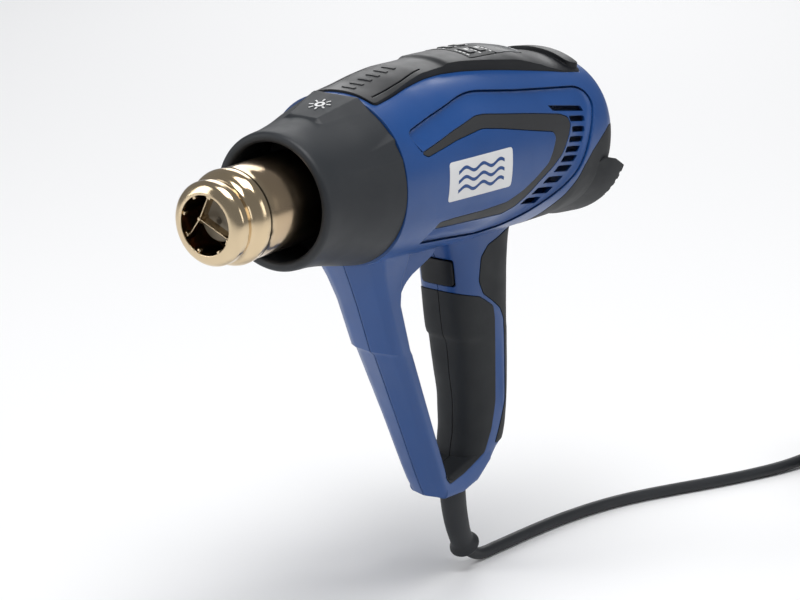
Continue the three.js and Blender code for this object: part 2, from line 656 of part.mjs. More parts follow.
function makeScrews() {
  SCREWS.forEach(([x, z, y], i) => {
    const top = y - HEAD.sunk;
    const head = barY(HEAD.r, x, z, top - HEAD.tall + GAP, top, 12);
    const upright = box(x - 0.5, x + 0.5, top - 1, y, z - 2, z + 2);
    const cross = upright.add(box(x - 2, x + 2, top - 1, y, z - 0.5, z + 0.5));
    const shank = barY(SCREW_R, x, z, 6 - y, top - 1, 8);
    add(gun, `housing_screw_${i + 1}`, head.add(shank).subtract(cross), STEEL);
  });
}

// ---- lead ---------------------------------------------------------------------------
// Middle line of the strain relief, from inside the housing to its mouth.
const SLEEVE = [
  [186, 0, -167.4], [186.4, 0, -177], [188, 0, -189], [191.1, 0, -201], [194.8, 0, -209.7],
  [198.2, 0, -214.8],
];
const COIL = { x: 450.3, y: -115.4, inner: 23.2, outer: 44.2, tall: 19, lift: 1.2 };
const PLUG = { x: 448, y: -143.4, z: FLOOR + 29.1, wide: 18, half: 8.6 };

// Route of the lead from the sleeve's mouth to the coil, resting on FLOOR.
const ROUTE = [
  [198.6, 0, -215.4], [202, 0, -218.9], [206, 0, -221.6], [210.9, -0.2, -223.6], [217, -0.7, CORD_Z],
  [223, -1.3, CORD_Z], [229, -2, CORD_Z], [241, -3.3, CORD_Z], [256, -5.1, CORD_Z],
  [271, -7.3, CORD_Z], [286, -10.4, CORD_Z], [300, -14, CORD_Z], [315, -19, CORD_Z],
  [332, -26.5, CORD_Z], [351, -36.5, CORD_Z], [371, -47.5, CORD_Z], [392, -58, CORD_Z],
  [412, -66.9, CORD_Z + 0.4], [426.6, -71.6, CORD_Z + 0.9],
];

// Round rings about the sleeve's middle line, at shares of its length, each with a radius.
function sleeveRings(stops) {
  const line = new THREE.CatmullRomCurve3(SLEEVE.map((p) => new THREE.Vector3(...p)));
  const across = new THREE.Vector3(0, 1, 0);
  const sides = 14;
  return stops.map(([share, radius]) => {
    const centre = line.getPointAt(share);
    const up = line.getTangentAt(share).cross(across);
    return Array.from({ length: sides }, (_, k) => {
      const angle = (2 * Math.PI * k) / sides;
      const point = centre.clone().addScaledVector(across, radius * Math.cos(angle));
      return point.addScaledVector(up, radius * Math.sin(angle)).toArray();
    });
  });
}

const TAPER = [[0, 6.8], [0.3, 6.6], [0.6, 6.3], [0.93, 6]];
const sleeveShape = (by) => loft(sleeveRings(TAPER.map(([share, radius]) => [share, radius + by])));

function makeLead() {
  const collar = loft(sleeveRings([[0.9, 6], [0.94, 7], [1, 7.8]]));
  const anchor = box(180, 192, -7, 7, -169.6, -167.4);
  add(gun, 'strain_relief', joined([sleeveShape(0), collar, anchor]), SOFT_BLACK);

  const line = new THREE.CatmullRomCurve3(ROUTE.map((p) => new THREE.Vector3(...p)));
  const sides = 10;
  const section = Array.from({ length: sides }, (_, i) => {
    const angle = (2 * Math.PI * (i + 0.5)) / sides;
    return [CORD_R * Math.cos(angle), CORD_R * Math.sin(angle)];
  });
  const sweep = { steps: 24, extrudePath: line, bevelEnabled: false };
  add(gun, 'cord_tube', new THREE.ExtrudeGeometry(outlineShape(section), sweep), SOFT_BLACK);

  const { inner, outer, tall, lift } = COIL;
  const band = [[inner, 0], [outer, 0], [outer, tall], [inner, tall], [inner, 0]];
  const windings = band.map(([r, z]) => new THREE.Vector2(r, z));
  const ring = new THREE.LatheGeometry(windings, 28).rotateX(Math.PI / 2);
  add(gun, 'cord_coil', ring.translate(COIL.x, COIL.y, FLOOR + lift), SOFT_BLACK);
  makeTie();
  makePlug();
}

// Strap round the coil's windings, on the side away from the gun.
function makeTie() {
  const { x, y, inner, outer, tall, lift } = COIL;
  const thick = 0.8;
  const [x0, x1] = [x + inner - 1.2, x + outer + GAP];
  const [z0, z1] = [FLOOR + lift - GAP, FLOOR + lift + tall + GAP];
  const strap = box(x0 - thick, x1 + thick, y - 5, y + 5, z0 - thick, z1 + thick);
  add(gun, 'coil_tie', strap.subtract(box(x0, x1, y - 6, y + 6, z0, z1)), SOFT_BLACK);
}

// Two-pin plug lying flat on the coil, its pins along -X.
function makePlug() {
  const { x, y, z } = PLUG;
  const body = [
    [0, 5], [-15, 6], [-22, 13], [-31, 17.2], [-46, PLUG.wide], [-46, -PLUG.wide], [-31, -17.2], [-22, -13],
    [-15, -6], [0, -5],
  ].map(([a, b]) => [x + a, y + b]);
  const slab = planPrism(body, z - PLUG.half, z + PLUG.half);
  const nose = barX(5.4, x - 20, x, 14, [y, z]);
  const block = slab.intersect(box(x - 60, x - 18, y - 30, y + 30, z - 20, z + 20));
  add(gun, 'plug_body', block.add(nose), SOFT_BLACK);
  for (const [name, side] of [['plug_pin_left', 1], ['plug_pin_right', -1]]) {
    add(gun, name, barX(2.4, x - 65.3, x - 46 - GAP, 10, [y + side * 9.3, z]), STEEL);
  }
}

makeNozzle();
makeNose();
makeHousing();
makeInlays();
makeFoot();
makeTop();
makeBlower();
makeHandleContents();
makeScrews();
makeLead();

export default root;
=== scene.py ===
"""Looks of a hand-held hot-air gun with a closed D-handle, for Blender 4.5.

Shapes are drawn in millimetres in the gun's own terms (the nozzle's mouth at x = 0, its axis along x)
or in the barrel's terms (u along the drooping barrel, z above its axis), then moved to the row frame.
"""

import json
import math

import bmesh
import bpy
import numpy as np
from mathutils import Matrix, Vector


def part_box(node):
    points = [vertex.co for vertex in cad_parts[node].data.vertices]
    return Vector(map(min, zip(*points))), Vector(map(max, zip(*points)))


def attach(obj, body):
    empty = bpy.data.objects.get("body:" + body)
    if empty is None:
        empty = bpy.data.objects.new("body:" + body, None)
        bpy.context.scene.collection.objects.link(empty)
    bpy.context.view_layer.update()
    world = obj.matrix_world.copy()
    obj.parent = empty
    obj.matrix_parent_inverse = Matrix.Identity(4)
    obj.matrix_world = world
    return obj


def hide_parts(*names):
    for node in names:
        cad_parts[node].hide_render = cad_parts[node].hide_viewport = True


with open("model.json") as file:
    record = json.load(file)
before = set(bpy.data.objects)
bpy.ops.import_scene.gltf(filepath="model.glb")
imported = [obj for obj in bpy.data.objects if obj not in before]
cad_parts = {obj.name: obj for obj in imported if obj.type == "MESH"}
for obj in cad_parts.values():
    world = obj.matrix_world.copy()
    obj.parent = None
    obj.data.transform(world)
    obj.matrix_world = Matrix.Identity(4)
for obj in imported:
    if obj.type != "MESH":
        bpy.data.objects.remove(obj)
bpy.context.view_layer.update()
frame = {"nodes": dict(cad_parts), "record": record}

# ---- frames ---------------------------------------------------------------------------
MM = 0.001
TUBE_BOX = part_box("nozzle_tube")
MOUTH = Vector((TUBE_BOX[0].x, 0, (TUBE_BOX[0].z + TUBE_BOX[1].z) / 2))
TO_ROW = Matrix.Translation(MOUTH) @ Matrix.Scale(MM, 4)
BODY_X = 93
DROOP = math.radians(3.4)
TO_GUN = Matrix.Translation((BODY_X, 0, 0)) @ Matrix.Rotation(DROOP, 4, "Y")

CORD_R = 3.15
FLOOR = -227.5
CORD_Z = FLOOR + CORD_R

# ---- camera, floor, light ---------------------------------------------------------------
scene = bpy.context.scene
scene.view_settings.view_transform = "Standard"


def make_camera():
    data = bpy.data.cameras.new("camera")
    data.lens = 117.0
    camera = bpy.data.objects.new("camera", data)
    scene.collection.objects.link(camera)
    azimuth, elevation = math.radians(-54), math.radians(17.49)
    back = Vector((
        math.sin(azimuth) * math.cos(elevation),
        -math.cos(azimuth) * math.cos(elevation),
        math.sin(elevation),
    ))
    right = Vector((math.cos(azimuth), math.sin(azimuth), 0))
    turn = Matrix((right, back.cross(right), back)).transposed().to_4x4()
    camera.matrix_world = Matrix.Translation((-1.0167, -0.6950, 0.4082)) @ turn
    scene.camera = camera


def make_lamp(name, place, target, size, power, color=(1, 1, 1)):
    data = bpy.data.lights.new(name, "AREA")
    data.shape = "RECTANGLE"
    data.size, data.size_y = size
    data.energy = power
    data.color = color
    lamp = bpy.data.objects.new(name, data)
    scene.collection.objects.link(lamp)
    aim = (Vector(target) - Vector(place)).to_track_quat("-Z", "Y")
    lamp.matrix_world = Matrix.Translation(place) @ aim.to_matrix().to_4x4()


def make_stage():
    world = bpy.data.worlds.new("studio")
    scene.world = world
    world.use_nodes = True
    world.node_tree.nodes["Background"].inputs["Color"].default_value = (0.93, 0.95, 1, 1)
    world.node_tree.nodes["Background"].inputs["Strength"].default_value = 0.26
    mesh = bpy.data.meshes.new("floor")
    reach = 9
    corners = [(-reach, -reach), (reach, -reach), (reach, reach), (-reach, reach)]
    height = MOUTH.z + FLOOR * MM
    mesh.from_pydata([(x, y, height) for x, y in corners], [], [(0, 1, 2, 3)])
    floor = bpy.data.objects.new("floor", mesh)
    scene.collection.objects.link(floor)
    paint = bpy.data.materials.new("floor_paint")
    paint.use_nodes = True
    surface = paint.node_tree.nodes["Principled BSDF"]
    surface.inputs["Base Color"].default_value = (0.93, 0.93, 0.93, 1)
    surface.inputs["Roughness"].default_value = 0.9
    mesh.materials.append(paint)
    middle = (0, 0, 0.03)
    make_lamp("lamp_top", (-0.2, -0.3, 1.8), middle, (1.3, 1.0), 27)
    make_lamp("lamp_left", (-1.3, 1.1, 0.7), (-0.1, 0, 0.1), (0.6, 1.4), 9)
    make_lamp("lamp_right", (0.6, -1.8, 0.7), middle, (0.9, 1.0), 5)
    make_lamp("lamp_back", (1.6, 1.0, 1.0), middle, (1.2, 1.2), 12)


# ---- solids in mesh code ----------------------------------------------------------------
def solid(points, faces):
    mesh = bpy.data.meshes.new("solid")
    mesh.from_pydata([tuple(p) for p in points], [], faces)
    work = bmesh.new()
    work.from_mesh(mesh)
    bmesh.ops.recalc_face_normals(work, faces=work.faces)
    work.to_mesh(mesh)
    work.free()
    piece = bpy.data.objects.new("solid", mesh)
    scene.collection.objects.link(piece)
    return piece


def drop(piece):
    mesh = piece.data
    bpy.data.objects.remove(piece)
    if not mesh.users:
        bpy.data.meshes.remove(mesh)


def baked(piece):
    """The piece with its modifiers made part of its mesh."""
    graph = bpy.context.evaluated_depsgraph_get()
    mesh = bpy.data.meshes.new_from_object(piece.evaluated_get(graph))
    piece.modifiers.clear()
    piece.data = mesh
    return piece


def combined(piece, tools, how):
    for tool in tools:
        step = piece.modifiers.new("step", "BOOLEAN")
        step.operation = how
        step.solver = "MANIFOLD"
        step.object = tool
    baked(piece)
    for tool in tools:
        drop(tool)
    return piece


def minus(piece, *tools):
    return combined(piece, tools, "DIFFERENCE")


def plus(piece, *tools):
    return combined(piece, tools, "UNION")


def both(piece, *tools):
    return combined(piece, tools, "INTERSECT")


def twin(piece):
    other = piece.copy()
    other.data = piece.data.copy()
    scene.collection.objects.link(other)
    return other


def moved(piece, matrix):
    piece.data.transform(matrix)
    return piece


def in_gun(piece):
    return moved(piece, TO_GUN)


def loft(rings, closed=False):
    """Skin through rings with the same count of points, with flat ends unless it closes on itself."""
    sides = len(rings[0])
    points = [p for ring in rings for p in ring]
    count = len(rings)
    faces = []
    for i in range(count if closed else count - 1):
        a, b = i * sides, (i + 1) % count * sides
        faces += [(a + k, a + (k + 1) % sides, b + (k + 1) % sides, b + k) for k in range(sides)]
    if not closed:
        faces += [tuple(range(sides)), tuple(range((count - 1) * sides, count * sides))]
    return solid(points, faces)


def block(x0, x1, y0, y1, z0, z1):
    ring = [(y0, z0), (y1, z0), (y1, z1), (y0, z1)]
    return loft([[(x, y, z) for y, z in ring] for x in (x0, x1)])


def side_prism(outline, y0, y1):
    """Outline of (x, z) points, run through from y0 to y1."""
    return loft([[(x, y, z) for x, z in outline] for y in (y0, y1)])


def plan_prism(outline, z0, z1):
    """Outline of (x, y) points, run through from z0 to z1."""
    return loft([[(x, y, z) for x, y in outline] for z in (z0, z1)])


def turned(profile, sides=160):
    """Closed profile of (x, radius) points turned about the x axis."""
    turns = [2 * math.pi * k / sides for k in range(sides)]
    return loft([[(x, r * math.cos(a), r * math.sin(a)) for x, r in profile] for a in turns], closed=True)


def softened(piece, width, segments=3, angle=50):
    """The piece with its edges rounded."""
    step = piece.modifiers.new("soft", "BEVEL")
    step.width = width
    step.segments = segments
    step.limit_method = "ANGLE"
    step.angle_limit = math.radians(angle)
    return baked(piece)


# ---- lines ------------------------------------------------------------------------------
def rectangle(x0, x1, y0, y1):
    return [(x0, y0), (x1, y0), (x1, y1), (x0, y1)]


def slopes(places, values):
    """Slopes of a smooth curve through the values that doesn't overshoot them."""
    steps = np.diff(values) / np.diff(places)
    inner = [0 if a * b <= 0 else 2 * a * b / (a + b) for a, b in zip(steps, steps[1:])]
    return np.array([steps[0], *inner, steps[-1]])


def finer(rows, step):
    """Rows of a table, its first column the place, at about every step, on smooth curves."""
    table = np.array(rows, float)
    places = table[:, 0]
    fine = [places[0]]
    for a, b in zip(places, places[1:]):
        parts = max(1, math.ceil(abs(b - a) / step))
        fine += [a + (b - a) * k / parts for k in range(1, parts + 1)]
    fine = np.array(fine)
    order = 1 if places[-1] > places[0] else -1
    low = np.clip(np.searchsorted(places * order, fine * order, side="right") - 1, 0, len(places) - 2)
    span = places[low + 1] - places[low]
    t = (fine - places[low]) / span
    columns = [fine]
    for column in table.T[1:]:
        slope = slopes(places, column)
        columns.append(
            column[low] * (1 + 2 * t) * (1 - t) ** 2
            + column[low + 1] * t * t * (3 - 2 * t)
            + span * (slope[low] * t * (1 - t) ** 2 - slope[low + 1] * t * t * (1 - t))
        )
    return np.array(columns).T


def rounded(points, radius, parts=5, closed=True, straight=math.radians(176)):
    """Outline with each corner cut by a curve that starts up to radius before it."""
    result = []
    count = len(points)
    for i, p in enumerate(points):
        here = Vector(p)
        if not closed and i in (0, count - 1):
            result.append(tuple(here))
            continue
        before = Vector(points[i - 1]) - here
        after = Vector(points[(i + 1) % count]) - here
        if before.angle(after) > straight:
            result.append(tuple(here))
            continue
        start = here + before.normalized() * min(radius, before.length * 0.48)
        end = here + after.normalized() * min(radius, after.length * 0.48)
        for k in range(parts + 1):
            t = k / parts
            result.append(tuple(start * (1 - t) ** 2 + here * 2 * t * (1 - t) + end * t * t))
    return result


def grown(outline, by):
    """Closed outline moved outwards by `by`, mitred at its corners."""
    points = [Vector(p) for p in outline]
    count = len(points)
    area = sum(p.x * q.y - q.x * p.y for p, q in zip(points, points[1:] + points[:1]))
    side = 1 if area > 0 else -1
    result = []
    for i, p in enumerate(points):
        one = (p - points[i - 1]).normalized()
        two = (points[(i + 1) % count] - p).normalized()
        out = Vector(((one.y + two.y) * side, -(one.x + two.x) * side)).normalized()
        stretch = by / max(0.5, out.x * one.y * side - out.y * one.x * side)
        result.append(tuple(p + out * stretch))
    return result


def ribbon_prism(line, width, reach):
    """Band of a width that follows an open (x, z) line, from y = -reach to reach."""
    points = [Vector(p) for p in line]
    rings = []
    for i, p in enumerate(points):
        along = (points[min(i + 1, len(points) - 1)] - points[max(i - 1, 0)]).normalized()
        off = Vector((-along.y, along.x)) * width / 2
        a, b = p + off, p - off
        rings.append([(a.x, -reach, a.y), (a.x, reach, a.y), (b.x, reach, b.y), (b.x, -reach, b.y)])
    return loft(rings)


def line_distance(points, outline):
    """Distance of each point to a closed outline, negative inside it."""
    start = np.array(outline)
    end = np.roll(start, -1, axis=0)
    along = end - start
    p = points[:, None, :] - start[None]
    t = np.clip((p * along).sum(2) / (along**2).sum(1), 0, 1)
    away = np.linalg.norm(p - t[..., None] * along, axis=2).min(1)
    x, y = points[:, 0:1], points[:, 1:2]
    rises = (start[:, 1] > y) != (end[:, 1] > y)
    height = np.where(along[:, 1] == 0, 1e-9, along[:, 1])
    crossing = start[:, 0] + (y - start[:, 1]) / height * along[:, 0]
    inside = (rises & (x < crossing)).sum(1) % 2 == 1
    return np.where(inside, -away, away)


# ---- materials --------------------------------------------------------------------------
# Noise scales, in features per metre or so.
TONE_SCALE = 22
TINT_SCALE = 45
GLOSS_SCALE = 70
WEAR_AND_HIGHLIGHT_SCALE = 160
BRUSH_SCALE = 400


def finish(
    name,
    color,
    rough,
    metallic=0.0,
    tone=0.06,
    grain=900.0,
    grain_height=0.00002,
    wear_and_highlight=0.12,
    coat=0.0,
    shine=0.5,
    tints=(),
    brushed=None,
):
    """Moulded or metal surface: colour that drifts a little, fine grain, uneven gloss, edges lightened in
    patches, partly as wear and partly as a painted highlight.
    """
    material = bpy.data.materials.new(name)
    material.use_nodes = True
    tree = material.node_tree
    shader = tree.nodes["Principled BSDF"]
    shader.inputs["Metallic"].default_value = metallic
    shader.inputs["Specular IOR Level"].default_value = shine
    shader.inputs["Coat Weight"].default_value = coat
    shader.inputs["Coat Roughness"].default_value = 0.12
    where = tree.nodes.new("ShaderNodeTexCoord").outputs["Object"]

    def node(kind, **settings):
        made = tree.nodes.new(kind)
        for key, value in settings.items():
            setattr(made, key, value)
        return made

    def link(a, b):
        tree.links.new(a, b)

    def noise(scale, detail=3.0, source=where):
        made = node("ShaderNodeTexNoise")
        made.inputs["Scale"].default_value = scale
        made.inputs["Detail"].default_value = detail
        link(source, made.inputs["Vector"])
        return made.outputs["Fac"]

    def ramp(value, low, high, to_low, to_high):
        made = node("ShaderNodeMapRange")
        for socket, number in zip(made.inputs[1:5], (low, high, to_low, to_high)):
            socket.default_value = number
        link(value, made.inputs[0])
        return made.outputs[0]

    def mixed(factor, a, b, blend="MIX"):
        made = node("ShaderNodeMix", data_type="RGBA", blend_type=blend)
        for value, socket in ((factor, made.inputs[0]), (a, made.inputs[6]), (b, made.inputs[7])):
            if isinstance(value, (int, float)):
                socket.default_value = value
            elif isinstance(value, tuple):
                socket.default_value = (*value, 1)
            else:
                link(value, socket)
        return made.outputs[2]

    dark = tuple(c * (1 - tone) for c in color)
    light = tuple(min(1, c * (1 + tone)) for c in color)
    shade = mixed(ramp(noise(TONE_SCALE), 0.35, 0.65, 0, 1), dark, light)
    if tints:
        split = node("ShaderNodeSeparateXYZ")
        link(where, split.inputs[0])
        bands = node("ShaderNodeValToRGB")
        span = (tints[0][0], tints[-1][0])
        stops = bands.color_ramp.elements
        while len(stops) < len(tints):
            stops.new(0.5)
        for stop, (x, tint) in zip(stops, tints):
            stop.position = (x - span[0]) / (span[1] - span[0])
            stop.color = (*tint, 1)
        drift = node("ShaderNodeMath", operation="MULTIPLY_ADD")
        link(noise(TINT_SCALE), drift.inputs[0])
        drift.inputs[1].default_value = 0.006
        link(split.outputs["X"], drift.inputs[2])
        link(ramp(drift.outputs[0], span[0] + 0.003, span[1] + 0.003, 0, 1), bands.inputs["Fac"])
        shade = mixed(1.0, shade, bands.outputs["Color"], "MULTIPLY")
    fine = noise(grain, 4.0)
    soft_edge = node("ShaderNodeBevel", samples=4)
    soft_edge.inputs["Radius"].default_value = 0.0006
    geometry = node("ShaderNodeNewGeometry")
    facing = node("ShaderNodeVectorMath", operation="DOT_PRODUCT")
    link(soft_edge.outputs["Normal"], facing.inputs[0])
    link(geometry.outputs["Normal"], facing.inputs[1])
    # Edge mask from the bevel normal: edges are lightened in patches, partly as wear and partly as a painted
    # highlight along every edge.
    edge = ramp(facing.outputs["Value"], 0.995, 0.8, 0, wear_and_highlight)
    patchy_wear_and_highlight = node("ShaderNodeMath", operation="MULTIPLY")
    link(edge, patchy_wear_and_highlight.inputs[0])
    link(ramp(noise(WEAR_AND_HIGHLIGHT_SCALE), 0.4, 0.6, 0.3, 1), patchy_wear_and_highlight.inputs[1])
    worn_and_highlit = tuple(min(1, c * 1.5 + 0.03) for c in color)
    link(mixed(patchy_wear_and_highlight.outputs[0], shade, worn_and_highlit), shader.inputs["Base Color"])
    link(ramp(noise(GLOSS_SCALE), 0.3, 0.7, rough - 0.05, rough + 0.06), shader.inputs["Roughness"])
    bump = node("ShaderNodeBump")
    bump.inputs["Strength"].default_value = 0.6
    bump.inputs["Distance"].default_value = grain_height
    link(fine, bump.inputs["Height"])
    link(soft_edge.outputs["Normal"], bump.inputs["Normal"])
    if brushed:
        stretch = node("ShaderNodeMapping")
        stretch.inputs["Scale"].default_value = brushed
        link(where, stretch.inputs["Vector"])
        lines = node("ShaderNodeBump")
        lines.inputs["Strength"].default_value = 0.35
        lines.inputs["Distance"].default_value = 0.00002
        link(noise(BRUSH_SCALE, 2.0, stretch.outputs[0]), lines.inputs["Height"])
        link(bump.outputs["Normal"], lines.inputs["Normal"])
        bump = lines
    link(bump.outputs["Normal"], shader.inputs["Normal"])
    return material


NOZZLE_X = TUBE_BOX[0].x
HEAT_TINTS = [
    (NOZZLE_X, (1.0, 0.98, 0.92)),
    (NOZZLE_X + 0.019, (1.0, 0.96, 0.88)),
    (NOZZLE_X + 0.024, (0.80, 0.74, 0.68)),
    (NOZZLE_X + 0.048, (0.62, 0.56, 0.52)),
    (NOZZLE_X + 0.075, (0.42, 0.38, 0.38)),
]
FINISHES = {
    "blue_plastic": finish("blue_plastic", (0.007, 0.060, 0.230), 0.38, coat=0.08),
    "black_plastic": finish("black_plastic", (0.006, 0.007, 0.009), 0.42, shine=0.28),
    "charcoal_plastic": finish("charcoal_plastic", (0.019, 0.022, 0.026), 0.5, shine=0.4),
    "soft_grip": finish(
        "soft_grip", (0.013, 0.015, 0.017), 0.6, shine=0.35, grain=1400.0, grain_height=0.00004
    ),
    "trim_grey": finish(
        "trim_grey", (0.030, 0.031, 0.033), 0.52, shine=0.35, grain=1200.0, grain_height=0.00003
    ),
    "cable_rubber": finish(
        "cable_rubber", (0.016, 0.018, 0.021), 0.50, shine=0.4, grain=1100.0, grain_height=0.00003
    ),
    "straw_steel": finish(
        "straw_steel", (0.66, 0.54, 0.38), 0.16, 1.0, tints=HEAT_TINTS, wear_and_highlight=0.2, brushed=(1, 0.05, 0.05)
    ),
    "steel": finish("steel", (0.55, 0.56, 0.58), 0.3, 1.0, brushed=(0.05, 1, 1)),
    "copper": finish("copper", (0.55, 0.24, 0.12), 0.35, 1.0, tone=0.2),
    "ceramic": finish("ceramic", (0.30, 0.26, 0.20), 0.75, tone=0.12, grain=500.0, grain_height=0.0001),
    "mica": finish("mica", (0.36, 0.28, 0.14), 0.55, tone=0.3, grain=300.0, grain_height=0.00005),
    "board_green": finish("board_green", (0.015, 0.10, 0.045), 0.5, tone=0.15),
    "display": finish("display", (0.010, 0.012, 0.016), 0.30, wear_and_highlight=0.02, shine=0.12, grain_height=0.000002),
    "label_film": finish("label_film", (0.008, 0.009, 0.010), 0.45, wear_and_highlight=0.05, shine=0.12),
    "white_plastic": finish("white_plastic", (0.62, 0.62, 0.60), 0.45),
}
MARK_WHITE = finish("mark_white", (0.75, 0.75, 0.75), 0.5, wear_and_highlight=0.0)
MARK_BLUE = finish("mark_blue", (0.007, 0.060, 0.230), 0.5, wear_and_highlight=0.0)


def show(piece, name, slot, body="gun", replaces=(), sharp=32, material=None, matrix=TO_ROW):
    """The piece in the row frame, smooth but for its sharp edges, with its finish and its body."""
    piece.name = name
    moved(piece, matrix)
    mesh = piece.data
    mesh.name = name
    mesh.shade_smooth()
    mesh.set_sharp_from_angle(angle=math.radians(sharp))
    mesh.materials.clear()
    mesh.materials.append(material or FINISHES[slot])
    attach(piece, body)
    if replaces:
        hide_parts(*replaces)
    return piece


# ---- lead -------------------------------------------------------------------------------
SLEEVE = [
    (186, 0, -167.4), (186.4, 0, -177), (188, 0, -189), (191.1, 0, -201), (194.8, 0, -209.7),
    (198.2, 0, -214.8),
]
ROUTE = [
    (198.6, 0, -215.4), (202, 0, -218.9), (206, 0, -221.6), (210.9, -0.2, -223.6), (217, -0.7, CORD_Z),
    (223, -1.3, CORD_Z), (229, -2, CORD_Z), (241, -3.3, CORD_Z), (256, -5.1, CORD_Z), (271, -7.3, CORD_Z),
    (286, -10.4, CORD_Z), (300, -14, CORD_Z), (315, -19, CORD_Z), (332, -26.5, CORD_Z),
    (351, -36.5, CORD_Z), (371, -47.5, CORD_Z), (392, -58, CORD_Z), (412, -66.9, CORD_Z + 0.4),
    (426.6, -71.6, CORD_Z + 0.9), (439, -74.1, CORD_Z + 1.2),
]
COIL = {"x": 450.3, "y": -115.4, "outer": 40.8, "inner": 26.5, "lift": 1.2}
PLUG = {"x": 448, "y": -143.4, "z": FLOOR + 29.1}
TIE_TOP = FLOOR + 21.3


def coil_points(per_turn=24):
    """Three layers of windings, clockwise from above, then half a turn up over the tie to the plug."""
    low = CORD_Z + COIL["lift"]
    middle, high = low + 2 * CORD_R, low + 4 * CORD_R
    over_tie = TIE_TOP + CORD_R + 0.3
    outer, inner, last = COIL["outer"], COIL["inner"], 29.4
    stages = [
        (2.25, outer, inner, low, low),
        (0.35, inner, inner, low, middle),
        (2.25, inner, outer, middle, middle),
        (0.35, outer, outer, middle, high),
        (1.8, outer, last, high, high),
        (0.25, last, 28.6, high, over_tie),
        (0.25, 28.6, COIL["y"] - PLUG["y"], over_tie, PLUG["z"]),
    ]
    points, turned_by = [], 0
    for turns, r0, r1, z0, z1 in stages:
        count = round(turns * per_turn)
        for k in range(count):
            t = k / count
            angle = math.pi / 2 - 2 * math.pi * (turned_by + turns * t)
            r = r0 + (r1 - r0) * t
            z = z0 + (z1 - z0) * t * t * (3 - 2 * t)
            points.append((COIL["x"] + r * math.cos(angle), COIL["y"] + r * math.sin(angle), z))
        turned_by += turns
    return points


def make_cord():
    tail = [(COIL["x"], PLUG["y"], PLUG["z"]), (PLUG["x"] - 6, PLUG["y"], PLUG["z"])]
    points = [TO_ROW @ Vector(p) for p in ROUTE + coil_points() + tail]
    line = bpy.data.curves.new("lead", "CURVE")
    line.dimensions = "3D"
    line.bevel_depth = CORD_R * MM
    line.bevel_resolution = 6
    line.resolution_u = 6
    line.use_fill_caps = True
    spline = line.splines.new("BEZIER")
    spline.bezier_points.add(len(points) - 1)
    for knot, place in zip(spline.bezier_points, points):
        knot.co = place
        knot.handle_left_type = knot.handle_right_type = "AUTO"
    lead = bpy.data.objects.new("lead", line)
    scene.collection.objects.link(lead)
    line.materials.append(FINISHES["cable_rubber"])
    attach(lead, "gun")
    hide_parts("cord_tube", "cord_coil")
    length = sum((a - b).length for a, b in zip(points, points[1:]))
    return lead, points[0], length


def tube_rings(line, stops, sides=48):
    """Round rings about a line in the plane y = 0, at shares of its length, each with a radius."""
    points = np.array([(p[0], p[2]) for p in line], float)
    run = np.concatenate([[0], np.cumsum(np.linalg.norm(np.diff(points, axis=0), axis=1))])
    table = finer(np.column_stack([run, points]), 0.5)
    rings = []
    for share, radius in stops:
        at = share * run[-1]
        k = int(np.clip(np.searchsorted(table[:, 0], at), 1, len(table) - 1))
        centre = [np.interp(at, table[:, 0], table[:, c]) for c in (1, 2)]
        along = Vector(table[k, 1:] - table[k - 1, 1:]).normalized()
        normal = Vector((-along.y, 0, along.x))
        ring = []
        for s in range(sides):
            a = 2 * math.pi * s / sides
            across, up = radius * math.cos(a), radius * math.sin(a)
            ring.append((centre[0] + normal.x * up, across, centre[1] + normal.z * up))
        rings.append(ring)
    return rings


